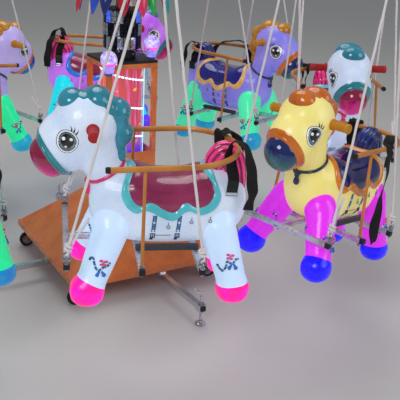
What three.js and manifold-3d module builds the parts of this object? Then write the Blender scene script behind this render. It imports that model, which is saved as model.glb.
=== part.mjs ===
// A fairground carousel: eight light-up ponies hang on ropes round a wheeled steel base.
// Millimetres, +Z up. The sides of the base deck run along X and Y, and the floor is z = 0.
import * as THREE from 'three';
import { mergeVertices } from 'three/addons/utils/BufferGeometryUtils.js';
import Module from 'manifold-3d';

const wasm = await Module();
wasm.setup();

// Ring of ponies. Each hangs square to its own radius and travels clockwise, seen from above.
const PONY_COUNT = 8;
const PONY_RADIUS = 1065;
const FIRST_PONY_ANGLE = -112.5;
const FRAME_Z = 575;

// How some ponies hang off their even place, as the ropes stretch and settle unevenly:
// forward, outward and up in millimetres, then yaw, nose-down pitch and inward roll in degrees.
const LEVEL = [0, 0, 0, 0, 0, 0];
const HANG = [
  [4, 24, 24, 2.8, -1.1, -2.5],
  [44, 30, -32, -6.4, -5.9, -1.6],
  [0, 0, 12, -3, -2.5, 0],
  [0, 9, 2, 1.5, -0.6, -1.5],
  [0, 0, 0, 0, 0, -3],
  [-4, 11, -62, -4.5, 3, 0],
  LEVEL,
  [50, 30, -30, -3, 0, 0],
];

// Hanging frame of one pony: x is forward, y is outward, z is up from the centre of its cross tubes.
const FRAME_TUBE = 20;
const CROSS_LENGTH = 500;
const FRONT_CROSS_X = 224;
const FRONT_CROSS_Z = 29;
const MID_CROSS_X = -23;
const REAR_CROSS_X = -225;
const RAIL_Y = 95;
const EYE_Y = 243;
const EYE_HEIGHT = 26;
const GUARD_Y = 198;
const GUARD_TIP_Z = 346;
const GUARD_TILT = 2.3;
const GUARD_TIP_X = 96;
const GUARD_BEND_X = -166;
const GUARD_RADIUS = 10;
const ROD_RADIUS = 6;
const ROD_FOOT_Y = 226;
const MUZZLE_TILT = 29.7;

// Ropes, hanger bar and the pin that the whole swing hangs on.
const HANGER_X = -78;
const HANGER_Z = 1728;
const HANGER_LENGTH = 460;
const HANGER_RADIUS = 10;
const HOOK_Y = 215;
const ROPE_RADIUS = 5;
const KNOT_SIZE = 16;
const PIN_Z = 1752;
const PIN_RADIUS = 5;
const PIN_BORE = 5.6;
const LUG_THICK = 14;
const CHEEK_GAP = 32;
const CHEEK_THICK = 6;

// Turning head.
const ARM_SIZE = 40;
const ARM_Z = 1806;
const ARM_END = 28;
const HUB_RADIUS = 110;
const HUB_HEIGHT = 76;
const SHAFT_RADIUS = 30;
const BRACE_SIZE = 25;
const BRACE_REACH = 520;
const BRACE_FOOT_Z = 1690;
const PETAL_COUNT = 16;
const PETAL_TOP_Z = 1640;
const PETAL_TIP_Z = 1280;
const PETAL_TOP_RADIUS = 105;
const PETAL_TIP_RADIUS = 212;
const PETAL_THICK = 6;

// Base deck, its sloping cover, casters and outriggers.
const DECK_SIDE = 810;
const DECK_BOTTOM = 103;
const DECK_LIP = 30;
const SHEET = 4;
const COVER_RISE = 242;
const CORNER_PLATE = 120;
const CASTER_OFFSET = 350;
const CASTER_TRAIL = 28;
const WHEEL_RADIUS = 38;
const WHEEL_WIDTH = 24;
const AXLE_RADIUS = 4;
const FORK_TOP = 96;
const CORNERS = [[-1, -1], [1, -1], [1, 1], [-1, 1]];
const OUTRIGGER_SIZE = 25;
const OUTRIGGER_ROOT = [36, -330];
const OUTRIGGER_FOOT = [52, -748];
const OUTRIGGER_Z = 84;
const SCREW_RADIUS = 6;
const SCREW_BORE = 6.6;
const CUP_RADIUS = 23;
const SCREW_TOP = 158;

// Column between the deck cover and the turning head, with an open box round its lower half.
const COLUMN_SIDE = 250;
const COLUMN_TUBE = 22;
const COLUMN_TOP = 1035;
const BOX_TOP = 612;
const SHELF_Z = 575;
const LOW_RING_Z = 392;
const LIGHT_TUBE_RADIUS = 100;
const LIGHT_TUBE_WALL = 5;
const LED_RING_HEIGHTS = [702, 838, 974];
const TRAY_THICK = 12;
const DRUM_RADIUS = 90;
const DRUM_BOTTOM = 1090;
const DRUM_TOP = 1270;
const LAMP_HUB_RADIUS = 64;
const STALK_Z = 1083;
const LAMP_RADIUS = 37;
const LAMP_HEIGHT = 112;

// The ball lamps: angle round the column, reach from its axis and height of the middle.
const LAMPS = [
  [-130, 215, 1055],
  [-50, 150, 1108],
  [50, 215, 1055],
];

// Clearance left between two pieces that touch.
const FIT = 0.3;

// Steps smaller than this are smoothed out of the moulded shell.
const SMALLEST_STEP = 7;

// Turns a three.js geometry into a solid that can be added to and cut.
function solid(geometry) {
  const bare = geometry.clone();
  bare.deleteAttribute('normal');
  bare.deleteAttribute('uv');
  const merged = mergeVertices(bare, 1e-4);
  return new wasm.Manifold(new wasm.Mesh({
    numProp: 3,
    vertProperties: Float32Array.from(merged.attributes.position.array),
    triVerts: Uint32Array.from(merged.index.array),
  }));
}

function unite(parts) {
  return parts.reduce((whole, part) => whole.add(part));
}

// A block given by its centre and its full sizes.
function block(cx, cy, cz, sx, sy, sz) {
  return solid(new THREE.BoxGeometry(sx, sy, sz).translate(cx, cy, cz));
}

// A round rod between two points, with its own radius at each end.
function rod(from, to, radius, sides = 8, endRadius = radius) {
  const a = new THREE.Vector3(...from);
  const b = new THREE.Vector3(...to);
  const along = b.clone().sub(a);
  const geometry = new THREE.CylinderGeometry(endRadius, radius, along.length(), sides);
  geometry.applyQuaternion(new THREE.Quaternion().setFromUnitVectors(
    new THREE.Vector3(0, 1, 0), along.clone().normalize()));
  return solid(geometry.translate(...a.add(b).multiplyScalar(0.5).toArray()));
}

// A square tube between two points, with one pair of faces kept upright.
function squareTube(from, to, width, height = width) {
  const a = new THREE.Vector3(...from);
  const b = new THREE.Vector3(...to);
  const along = b.clone().sub(a).normalize();
  const side = new THREE.Vector3(0, 0, 1).cross(along).normalize();
  const up = along.clone().cross(side);
  const geometry = new THREE.BoxGeometry(a.distanceTo(b), width, height);
  geometry.applyMatrix4(new THREE.Matrix4().makeBasis(along, side, up));
  return solid(geometry.translate(...a.add(b).multiplyScalar(0.5).toArray()));
}

// A ring or disc about the Z axis, from an inner radius to an outer one.
function ring(inner, outer, low, high, sides = 24) {
  const profile = [[inner, low], [outer, low], [outer, high], [inner, high], [inner, low]];
  const points = profile.map(([r, z]) => new THREE.Vector2(r, z));
  return solid(new THREE.LatheGeometry(points, sides).rotateX(Math.PI / 2));
}

// A soft moulded lump: a ball stretched to three half sizes, squarer as the power grows.
function lump(centre, halfSizes, power = 2, around = 10, rings = 7) {
  const geometry = new THREE.SphereGeometry(1, around, rings).rotateX(Math.PI / 2);
  const position = geometry.attributes.position;
  const point = new THREE.Vector3();
  for (let i = 0; i < position.count; i += 1) {
    point.fromBufferAttribute(position, i);
    const sum = Math.abs(point.x) ** power + Math.abs(point.y) ** power + Math.abs(point.z) ** power;
    point.multiplyScalar(sum ** (-1 / power));
    position.setXYZ(i, point.x * halfSizes[0], point.y * halfSizes[1], point.z * halfSizes[2]);
  }
  return solid(geometry.translate(...centre));
}

// The same piece on both sides of the middle plane y = 0.
function pair(build) {
  return unite([build(1), build(-1)]);
}

const group = new THREE.Group();
group.name = 'pony_carousel';

function addPiece(name, shape, colour, roughness, metalness, extra = {}) {
  const mesh = shape.getMesh();
  const geometry = new THREE.BufferGeometry();
  geometry.setAttribute('position', new THREE.BufferAttribute(new Float32Array(mesh.vertProperties), 3));
  geometry.setIndex(new THREE.BufferAttribute(new Uint32Array(mesh.triVerts), 1));
  geometry.computeVertexNormals();
  const material = new THREE.MeshStandardMaterial({ color: colour, roughness, metalness, ...extra });
  const piece = new THREE.Mesh(geometry, material);
  piece.name = name;
  group.add(piece);
}

const ORANGE_PAINT = 0xc8662a;
const GALVANISED = 0x9fa3ab;
const CHROME = 0xd6d9de;

// Moulded pony shell. Its flat underside rests on the rails of the hanging frame.
function ponyShell() {
  // The back dips between rump and withers, where a child sits.
  const body = unite([
    lump([-130, 0, 138], [276, 128, 122], 2.7, 12, 8),
    lump([-312, 0, 170], [94, 118, 130], 2.4, 8, 5),
    lump([30, 0, 170], [80, 112, 126], 2.4, 8, 5),
  ]);
  const neck = unite([
    rod([45, 0, 190], [93, 0, 286], 100, 8, 64),
    rod([88, 0, 276], [145, 0, 390], 64, 8, 88),
  ]);
  const skull = lump([165, 0, 440], [112, 106, 118], 2.1, 10, 6);
  const face = lump([225, 0, 370], [100, 100, 112], 2, 10, 6);
  const muzzle = lump([0, 0, 0], [74, 96, 94], 2, 8, 5)
    .rotate([0, MUZZLE_TILT, 0]).translate([265, 0, 341]);
  const mane = unite([
    lump([203, 0, 532], [42, 64, 44], 2, 6, 4),
    lump([118, 0, 540], [48, 58, 44], 2, 6, 4),
    lump([58, 0, 492], [42, 52, 54], 2, 6, 4),
    lump([38, 0, 405], [42, 44, 66], 2, 6, 4),
  ]);
  const tail = unite([
    lump([-314, 0, 322], [54, 42, 50], 2, 6, 4),
    lump([-366, 0, 250], [46, 40, 72], 2, 6, 4),
  ]);
  const foreLeg = (side) => unite([
    lump([72, side * 80, 100], [70, 70, 70], 2, 8, 4),
    rod([82, side * 92, 92], [138, side * 154, -60], 64, 7, 49),
    lump([150, side * 163, -98], [60, 57, 56], 2.3, 6, 4),
  ]);
  const hindLeg = (side) => unite([
    rod([-298, side * 82, 116], [-354, side * 106, -95], 62, 7, 49),
    lump([-366, side * 110, -130], [64, 57, 57], 2.3, 6, 4),
  ]);
  const grip = rod([140, -180, 449], [140, 180, 449], 15, 6);
  const whole = unite([
    body, neck, skull, face, muzzle, mane, tail, pair(foreLeg), pair(hindLeg), grip,
  ]);
  const railTop = FRAME_TUBE * 1.5 + FIT;
  const underside = block(-130, 0, railTop - 60, 240, 280, 120);
  const frontUnderside = block(40, 0, railTop - 60, 200, 110, 120);
  return whole.subtract(underside).subtract(frontUnderside).asOriginal().simplify(SMALLEST_STEP);
}

// Steel frame that carries the shell, with the U-shaped guard rail on two upright rods.
function ponyFrame() {
  const layer = FRAME_TUBE;
  const cross = (x, z) => squareTube([x, -CROSS_LENGTH / 2, z], [x, CROSS_LENGTH / 2, z], FRAME_TUBE);
  const eye = (x, z) => (side) => unite([
    block(x, side * EYE_Y, z + EYE_HEIGHT / 2, 6, 6, EYE_HEIGHT),
    block(x, side * EYE_Y, z + EYE_HEIGHT - 8, 16, 6, 16),
  ]);
  const railEnd = REAR_CROSS_X - FRAME_TUBE / 2;
  const railStart = MID_CROSS_X + FRAME_TUBE / 2;
  const rail = (side) => squareTube(
    [railEnd, side * RAIL_Y, layer], [railStart, side * RAIL_Y, layer], FRAME_TUBE);
  const spine = squareTube(
    [railStart - FRAME_TUBE, 0, layer], [FRONT_CROSS_X + FRAME_TUBE / 2, 0, layer], FRAME_TUBE);
  const rise = (GUARD_TIP_X - MID_CROSS_X) * Math.tan(THREE.MathUtils.degToRad(GUARD_TILT));
  const uprightRod = (side) => rod(
    [MID_CROSS_X, side * ROD_FOOT_Y, 0],
    [MID_CROSS_X, side * GUARD_Y, GUARD_TIP_Z + rise], ROD_RADIUS, 6);
  return unite([
    cross(MID_CROSS_X, 0),
    cross(REAR_CROSS_X, 0),
    cross(FRONT_CROSS_X, FRONT_CROSS_Z),
    pair(rail),
    spine,
    pair(uprightRod),
    guardRail(),
    pair(eye(FRONT_CROSS_X, FRONT_CROSS_Z)),
    pair(eye(REAR_CROSS_X, 0)),
  ]);
}

// Guard rail: two straight arms joined by a half circle behind the rider, and tilted up towards it.
// It is drawn flat, backwards from its front tips, and then tilted about the line between them.
function guardRail() {
  const bend = GUARD_BEND_X - GUARD_TIP_X;
  const hoop = solid(new THREE.TorusGeometry(GUARD_Y, GUARD_RADIUS, 6, 20).translate(bend, 0, 0));
  const front = block(bend + GUARD_Y, 0, 0, GUARD_Y * 2, GUARD_Y * 3, GUARD_RADIUS * 3);
  const arm = (side) => rod([bend, side * GUARD_Y, 0], [0, side * GUARD_Y, 0], GUARD_RADIUS, 6);
  return hoop.subtract(front).add(pair(arm))
    .rotate([0, GUARD_TILT, 0]).translate([GUARD_TIP_X, 0, GUARD_TIP_Z]);
}

// Four taut ropes from the cross tube eyes up to the hanger bar, and the lug that hangs on the arm pin.
function ponyRopes(hang) {
  const barZ = HANGER_Z - FRAME_Z;
  const pinZ = PIN_Z - FRAME_Z;
  const knotRise = EYE_HEIGHT + FIT + KNOT_SIZE / 2;
  const rope = (eyeX, eyeZ) => (side) => {
    const [x, y, z] = hungPoint([eyeX, side * EYE_Y, eyeZ + knotRise], hang);
    const knot = hung(block(eyeX, side * EYE_Y, eyeZ + knotRise, KNOT_SIZE, KNOT_SIZE, KNOT_SIZE), hang);
    return knot.add(rod([x, y, z], [HANGER_X, side * HOOK_Y, barZ], ROPE_RADIUS, 5));
  };
  const bar = rod(
    [HANGER_X, -HANGER_LENGTH / 2, barZ], [HANGER_X, HANGER_LENGTH / 2, barZ], HANGER_RADIUS, 6);
  const lug = unite([
    block(HANGER_X, 0, (barZ + pinZ) / 2, LUG_THICK, 28, pinZ - barZ),
    rod([HANGER_X - LUG_THICK / 2, 0, pinZ], [HANGER_X + LUG_THICK / 2, 0, pinZ], 14, 8),
  ]);
  const bore = rod([HANGER_X - 20, 0, pinZ], [HANGER_X + 20, 0, pinZ], PIN_BORE, 8);
  return unite([
    bar,
    lug,
    pair(rope(FRONT_CROSS_X, FRONT_CROSS_Z)),
    pair(rope(REAR_CROSS_X, 0)),
  ]).subtract(bore);
}

// Moves a shell or frame from its even place to how it really hangs.
function hung(shape, [forward, outward, rise, yaw, pitch, roll]) {
  return shape.rotate([roll, pitch, yaw]).translate([forward, outward, rise]);
}

function hungPoint(point, [forward, outward, rise, yaw, pitch, roll]) {
  const [x, y, z] = [roll, pitch, yaw].map(THREE.MathUtils.degToRad);
  const turn = new THREE.Euler(x, y, z, 'ZYX');
  const moved = new THREE.Vector3(...point).applyEuler(turn);
  return moved.add(new THREE.Vector3(forward, outward, rise)).toArray();
}

// Places a piece made round the origin of a hanging frame at its own place in the ring.
function placed(shape, index) {
  const angle = FIRST_PONY_ANGLE + (360 / PONY_COUNT) * index;
  return shape.translate([0, PONY_RADIUS, FRAME_Z]).rotate([0, 0, angle - 90]);
}

// Turning head: shaft, hub, and for each pony an arm with a brace and a forked end for the pin.
function turningHead() {
  const hubLow = ARM_Z - HUB_HEIGHT / 2;
  const hubHigh = ARM_Z + HUB_HEIGHT / 2;
  const shaft = rod([0, 0, COLUMN_TOP + TRAY_THICK + FIT], [0, 0, hubHigh], SHAFT_RADIUS, 16);
  const hub = rod([0, 0, hubLow], [0, 0, hubHigh], HUB_RADIUS, 16);
  const cap = rod([0, 0, hubHigh], [0, 0, hubHigh + 24], HUB_RADIUS * 0.7, 12, HUB_RADIUS * 0.4);
  const braceCollar = rod([0, 0, BRACE_FOOT_Z - 26], [0, 0, BRACE_FOOT_Z + 26], SHAFT_RADIUS + 18, 16);
  const petalCollar = rod([0, 0, PETAL_TOP_Z - 26], [0, 0, PETAL_TOP_Z - FIT], SHAFT_RADIUS + 10, 16);
  const oneArm = swingArm();
  const arms = [];
  for (let i = 0; i < PONY_COUNT; i += 1) {
    const angle = FIRST_PONY_ANGLE + (360 / PONY_COUNT) * i;
    arms.push(oneArm.rotate([0, 0, angle - 90]));
  }
  return unite([shaft, hub, cap, braceCollar, petalCollar, ...arms]);
}

// One arm, drawn with the pony's heading along X. Its tip sits just behind the pony's middle.
function swingArm() {
  const tip = new THREE.Vector2(HANGER_X, PONY_RADIUS);
  const out = tip.clone().normalize();
  const end = tip.clone().addScaledVector(out, ARM_END);
  const knee = out.clone().multiplyScalar(BRACE_REACH);
  const root = out.clone().multiplyScalar(HUB_RADIUS / 2);
  const beam = squareTube([root.x, root.y, ARM_Z], [end.x, end.y, ARM_Z], ARM_SIZE);
  const foot = out.clone().multiplyScalar(SHAFT_RADIUS + 6);
  const brace = squareTube([foot.x, foot.y, BRACE_FOOT_Z], [knee.x, knee.y, ARM_Z - 4], BRACE_SIZE);
  const cheekLow = PIN_Z - 16;
  const cheek = (side) => block(
    tip.x + side * (CHEEK_GAP + CHEEK_THICK) / 2, tip.y, (ARM_Z + cheekLow) / 2,
    CHEEK_THICK, 32, ARM_Z - cheekLow);
  const pinReach = CHEEK_GAP / 2 + CHEEK_THICK + 4;
  const pin = rod([tip.x - pinReach, tip.y, PIN_Z], [tip.x + pinReach, tip.y, PIN_Z], PIN_RADIUS, 8);
  return unite([beam, brace, cheek(1), cheek(-1), pin]).asOriginal();
}

// Glossy pointed petals hanging in two layers from a plate under the head.
function petalSkirt() {
  const length = Math.hypot(PETAL_TOP_Z - PETAL_TIP_Z, PETAL_TIP_RADIUS - PETAL_TOP_RADIUS);
  const lean = Math.atan2(PETAL_TIP_RADIUS - PETAL_TOP_RADIUS, PETAL_TOP_Z - PETAL_TIP_Z);
  const leaf = new THREE.Shape();
  leaf.moveTo(-24, 0);
  leaf.lineTo(24, 0);
  leaf.quadraticCurveTo(52, -length * 0.62, 0, -length);
  leaf.quadraticCurveTo(-52, -length * 0.62, -24, 0);
  const sheet = new THREE.ExtrudeGeometry(leaf, { depth: PETAL_THICK, bevelEnabled: false, curveSegments: 3 });
  sheet.rotateX(Math.PI / 2);
  const plate = ring(SHAFT_RADIUS + FIT, PETAL_TOP_RADIUS + 14, PETAL_TOP_Z, PETAL_TOP_Z + 12, 32);
  const petals = [];
  for (let i = 0; i < PETAL_COUNT; i += 1) {
    const outer = i % 2 === 0;
    const petal = sheet.clone().rotateX(outer ? lean : lean * 0.86);
    petal.translate(0, outer ? PETAL_TOP_RADIUS + 8 : PETAL_TOP_RADIUS - 6, PETAL_TOP_Z + 8);
    petal.rotateZ((Math.PI * 2 * i) / PETAL_COUNT);
    petals.push(solid(petal));
  }
  return unite([plate, ...petals]);
}

// Shallow tray that the whole machine stands on, with a plate in each corner for a caster.
function baseDeck() {
  const half = DECK_SIDE / 2;
  const inside = DECK_SIDE - SHEET * 2;
  const tray = block(0, 0, DECK_BOTTOM + DECK_LIP / 2, DECK_SIDE, DECK_SIDE, DECK_LIP);
  const hollow = block(0, 0, DECK_BOTTOM + DECK_LIP / 2 - SHEET, inside, inside, DECK_LIP);
  const corners = [];
  for (const [sx, sy] of CORNERS) {
    const plateCentre = half - CORNER_PLATE / 2 - 1;
    corners.push(block(sx * plateCentre, sy * plateCentre, DECK_BOTTOM + SHEET / 2,
      CORNER_PLATE, CORNER_PLATE, SHEET));
    const x = sx * CASTER_OFFSET;
    const y = sy * CASTER_OFFSET;
    corners.push(rod([x, y, FORK_TOP + FIT], [x, y, DECK_BOTTOM + 1], 18, 12));
    corners.push(rod([x, y, FORK_TOP - 8], [x, y, DECK_BOTTOM + 1], PIN_RADIUS, 12));
  }
  return unite([tray.subtract(hollow), ...corners]);
}

// Four-sided sheet cover that slopes from the deck up to the column, open at its top.
function baseCover() {
  const low = DECK_BOTTOM + DECK_LIP + FIT;
  const wall = SHEET * 1.8;
  const coverTopSide = COLUMN_SIDE + (FIT + wall) * 2;
  const frustum = (inset, extra) => {
    const slope = (DECK_SIDE - 16 - coverTopSide) / COVER_RISE;
    const bottomSide = DECK_SIDE - 16 - inset * 2 + extra * slope;
    const topSide = coverTopSide - inset * 2 - extra * slope;
    const height = COVER_RISE + extra * 2;
    const geometry = new THREE.CylinderGeometry(
      topSide / Math.SQRT2, bottomSide / Math.SQRT2, height, 4, 1, false, Math.PI / 4);
    return solid(geometry.rotateX(Math.PI / 2).translate(0, 0, low + COVER_RISE / 2));
  };
  return frustum(0, 0).subtract(frustum(wall, 2));
}

// Square-tube column: four uprights and three rings of rails, with sheet panels round its lower
// half, open at the top, and a shelf inside them for the light tube.
function columnFrame() {
  const reach = (COLUMN_SIDE - COLUMN_TUBE) / 2;
  const foot = DECK_BOTTOM + DECK_LIP + FIT;
  const posts = CORNERS.map(([sx, sy]) => block(
    sx * reach, sy * reach, (foot + COLUMN_TOP) / 2, COLUMN_TUBE, COLUMN_TUBE, COLUMN_TOP - foot));
  const ringOfRails = (z) => unite([
    pair((side) => block(0, side * reach, z, COLUMN_SIDE, COLUMN_TUBE, COLUMN_TUBE)),
    pair((side) => block(side * reach, 0, z, COLUMN_TUBE, COLUMN_SIDE, COLUMN_TUBE)),
  ]);
  const panelWidth = COLUMN_SIDE - COLUMN_TUBE;
  const panelReach = COLUMN_SIDE / 2 - SHEET;
  const panelZ = (LOW_RING_Z + BOX_TOP) / 2;
  const panelHeight = BOX_TOP - LOW_RING_Z;
  return unite([
    ...posts,
    ringOfRails(COLUMN_TOP - COLUMN_TUBE / 2),
    ringOfRails(SHELF_Z - COLUMN_TUBE / 2),
    ringOfRails(LOW_RING_Z),
    block(0, 0, SHELF_Z - SHEET / 2, COLUMN_SIDE - 10, COLUMN_SIDE - 10, SHEET),
    pair((side) => block(0, side * panelReach, panelZ, panelWidth, SHEET, panelHeight)),
    pair((side) => block(side * panelReach, 0, panelZ, SHEET, panelWidth, panelHeight)),
  ]);
}

// Rings of lights round the clear tube, fed by a strip on each side.
function ledRings() {
  const inner = LIGHT_TUBE_RADIUS + FIT;
  const outer = inner + 5;
  const rings = LED_RING_HEIGHTS.map((z) => ring(inner, outer, z - 5, z + 5, 16));
  const low = Math.min(...LED_RING_HEIGHTS) - 5;
  const high = Math.max(...LED_RING_HEIGHTS) + 5;
  const strip = (side) => block(0, side * (inner + 3), (low + high) / 2, 10, 4, high - low);
  return unite([...rings, pair(strip)]);
}

// Ball lamps on chrome stalks that start from a hub under the mirrored drum. Each lamp is a ball
// over a body that narrows downwards.
function lampCross() {
  const low = COLUMN_TOP + TRAY_THICK + FIT;
  const hub = ring(SHAFT_RADIUS + 6, LAMP_HUB_RADIUS, low, DRUM_BOTTOM - FIT, 16);
  const lamps = LAMPS.map(([angle, reach, z]) => {
    const ballZ = z + LAMP_HEIGHT / 2 - LAMP_RADIUS;
    return unite([
      rod([LAMP_HUB_RADIUS - 3, 0, STALK_Z], [reach, 0, STALK_Z], 3.5, 8),
      lump([reach, 0, ballZ], [LAMP_RADIUS, LAMP_RADIUS, LAMP_RADIUS], 2, 10, 8),
      rod([reach, 0, z - LAMP_HEIGHT / 2], [reach, 0, ballZ], 16, 10, 34),
    ]).rotate([0, 0, angle]);
  });
  return unite([hub, ...lamps]);
}

// Square steel leg clamped under one side of the deck, with a block for the levelling screw.
function outrigger() {
  const [rootX, rootY] = OUTRIGGER_ROOT;
  const [footX, footY] = OUTRIGGER_FOOT;
  const lipY = -DECK_SIDE / 2 + SHEET;
  const lipX = rootX + ((footX - rootX) * (lipY - rootY)) / (footY - rootY);
  const deckUnderside = DECK_BOTTOM + DECK_LIP - SHEET - FIT;
  const lipUnderside = DECK_BOTTOM - FIT;
  const beam = squareTube([rootX, rootY, OUTRIGGER_Z], [footX, footY, OUTRIGGER_Z], OUTRIGGER_SIZE);
  const post = block(rootX, rootY, (OUTRIGGER_Z + deckUnderside) / 2, 24, 24, deckUnderside - OUTRIGGER_Z);
  const clamp = block(lipX, lipY, (OUTRIGGER_Z + lipUnderside) / 2, 34, 14, lipUnderside - OUTRIGGER_Z);
  const nut = block(footX, footY, OUTRIGGER_Z, 34, 34, 32);
  const bore = rod([footX, footY, 0], [footX, footY, 200], SCREW_BORE, 12);
  return unite([beam, post, clamp, nut]).subtract(bore);
}

// Levelling screw with a round cup foot and a cranked handle.
function levellingScrew() {
  const [x, y] = OUTRIGGER_FOOT;
  return unite([
    rod([x, y, 0], [x, y, 12], CUP_RADIUS, 12, CUP_RADIUS * 0.7),
    rod([x, y, 4], [x, y, SCREW_TOP], SCREW_RADIUS, 12),
    rod([x, y, SCREW_TOP - 5], [x - 26, y + 8, SCREW_TOP + 12], 5, 6),
  ]);
}

// Swivel fork of a caster, drawn round its upright swivel axis with the wheel trailing along -X.
function casterFork() {
  const cheekGap = WHEEL_WIDTH + 6;
  const crown = block(-4, 0, FORK_TOP - 4, 48, cheekGap + 8, 8);
  const bore = rod([0, 0, FORK_TOP - 20], [0, 0, FORK_TOP + 20], PIN_BORE, 12);
  const side = new THREE.Shape();
  side.moveTo(20, FORK_TOP - 4);
  side.lineTo(-28, FORK_TOP - 4);
  side.lineTo(-CASTER_TRAIL - 12, WHEEL_RADIUS);
  side.lineTo(-CASTER_TRAIL - 5, WHEEL_RADIUS - 12);
  side.lineTo(-CASTER_TRAIL + 8, WHEEL_RADIUS - 10);
  const sheet = new THREE.ExtrudeGeometry(side, { depth: SHEET, bevelEnabled: false });
  sheet.rotateX(Math.PI / 2);
  const cheek = (hand) => solid(sheet.clone().translate(
    0, hand > 0 ? cheekGap / 2 + SHEET : -cheekGap / 2, 0));
  const axle = rod(
    [-CASTER_TRAIL, -cheekGap / 2 - 6, WHEEL_RADIUS], [-CASTER_TRAIL, cheekGap / 2 + 6, WHEEL_RADIUS],
    AXLE_RADIUS, 12);
  return unite([crown.subtract(bore), pair(cheek), axle]);
}

function casterWheel() {
  const tyre = ring(AXLE_RADIUS + 0.6, WHEEL_RADIUS, -WHEEL_WIDTH / 2, WHEEL_WIDTH / 2, 20);
  return tyre.rotate([90, 0, 0]).translate([-CASTER_TRAIL, 0, WHEEL_RADIUS]);
}

addPiece('base_deck', baseDeck(), ORANGE_PAINT, 0.5, 0.1);
addPiece('base_cover', baseCover(), ORANGE_PAINT, 0.5, 0.1);
addPiece('column_frame', columnFrame(), ORANGE_PAINT, 0.45, 0.1);

const tubeLow = SHELF_Z + FIT;
const tubeHigh = COLUMN_TOP - FIT;
const tubeBore = LIGHT_TUBE_RADIUS - LIGHT_TUBE_WALL;
addPiece('light_tube', ring(tubeBore, LIGHT_TUBE_RADIUS, tubeLow, tubeHigh, 16), 0xd8505a, 0.1, 0,
  { transparent: true, opacity: 0.6 });
addPiece('led_rings', ledRings(), 0xe8f4ff, 0.3, 0);
addPiece('inner_mast', rod([0, 0, tubeLow], [0, 0, COLUMN_TOP - FIT], 38, 16), ORANGE_PAINT, 0.4, 0.2);

const trayLow = COLUMN_TOP + FIT;
const tray = block(0, 0, trayLow + (TRAY_THICK - FIT) / 2, COLUMN_SIDE, COLUMN_SIDE, TRAY_THICK - FIT);
addPiece('top_tray', tray, 0x15161a, 0.35, 0.2);
addPiece('mirror_drum', ring(SHAFT_RADIUS + 6, DRUM_RADIUS, DRUM_BOTTOM, DRUM_TOP, 12), 0x8a8f96, 0.12, 0.9);
addPiece('lamp_cross', lampCross(), 0xb8a8f0, 0.15, 0.2);

const SIDES = ['front', 'right', 'back', 'left'];
for (let i = 0; i < 4; i += 1) {
  const turn = [0, 0, 90 * i];
  addPiece(`outrigger_${SIDES[i]}`, outrigger().rotate(turn), CHROME, 0.25, 0.9);
  addPiece(`levelling_screw_${SIDES[i]}`, levellingScrew().rotate(turn), CHROME, 0.25, 0.9);
}

CORNERS.forEach(([sx, sy], i) => {
  const place = [sx * CASTER_OFFSET, sy * CASTER_OFFSET, 0];
  addPiece(`caster_fork_${i + 1}`, casterFork().translate(place), ORANGE_PAINT, 0.5, 0.2);
  addPiece(`caster_wheel_${i + 1}`, casterWheel().translate(place), 0x1a1a1c, 0.8, 0);
});

addPiece('turning_head', turningHead(), ORANGE_PAINT, 0.45, 0.1);
addPiece('petal_skirt', petalSkirt(), 0xc01838, 0.2, 0);

const shell = ponyShell();
const frame = ponyFrame();
for (let i = 0; i < PONY_COUNT; i += 1) {
  const shellColour = i % 2 === 0 ? 0xcfe0f5 : 0xefe6a0;
  addPiece(`pony_${i + 1}`, placed(hung(shell, HANG[i]), i), shellColour, 0.25, 0);
  addPiece(`pony_${i + 1}_frame`, placed(hung(frame, HANG[i]), i), GALVANISED, 0.4, 0.8);
  addPiece(`pony_${i + 1}_ropes`, placed(ponyRopes(HANG[i]), i), 0xe8e6ee, 0.8, 0);
}

export default group;
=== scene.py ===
# %% [markdown]
# # A light-up pony carousel
# The real machine is a wheeled steel base with a square-tube column and a turning head.
# Eight blow-moulded ponies hang from it on ropes and glow from inside.
# The CAD frame comes first, because every detailed piece has to sit where its solid sits.

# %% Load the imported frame
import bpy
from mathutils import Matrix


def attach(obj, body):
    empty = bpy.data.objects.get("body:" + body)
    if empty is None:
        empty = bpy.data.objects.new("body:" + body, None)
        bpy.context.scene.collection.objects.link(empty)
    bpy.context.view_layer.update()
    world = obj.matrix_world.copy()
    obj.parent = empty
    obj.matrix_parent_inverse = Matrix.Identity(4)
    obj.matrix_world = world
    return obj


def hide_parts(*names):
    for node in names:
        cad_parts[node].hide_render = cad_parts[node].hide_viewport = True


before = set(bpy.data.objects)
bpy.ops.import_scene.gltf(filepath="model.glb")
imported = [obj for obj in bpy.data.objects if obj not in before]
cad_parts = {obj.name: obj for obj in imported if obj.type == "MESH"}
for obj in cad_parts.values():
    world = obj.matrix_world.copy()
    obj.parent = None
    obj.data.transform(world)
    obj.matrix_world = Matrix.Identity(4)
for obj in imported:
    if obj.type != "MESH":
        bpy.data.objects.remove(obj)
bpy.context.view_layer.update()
print("CAD nodes:", len(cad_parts))

# %% Modules and units
import math
import random

import bmesh
import bpy
from mathutils import Matrix, Vector
from mathutils.bvhtree import BVHTree

# Shapes are drawn in millimetres and scaled to metres when their mesh is made.
TO_METRES = Matrix.Scale(0.001, 4)
TURN = 2 * math.pi
random.seed(7)

# %% [markdown]
# ## Camera, floor and light
# The camera stands about as high as a grown-up's eyes and looks down on the ring.
# Its place, tilt and small roll repeat the view of the photograph, so that shapes can be compared.
# Large soft lamps are used because they show gloss without hard shadows.

# %% Camera
EYE_POINT = Vector((-1.497, -3.300, 1.745))
HEADING = math.radians(59.28)
TILT = math.radians(21.2)
ROLL = math.radians(-2.91)
SENSOR_MM = 36.0
FOCAL_PIXELS = 772.0
IMAGE_PIXELS = 400.0

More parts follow.
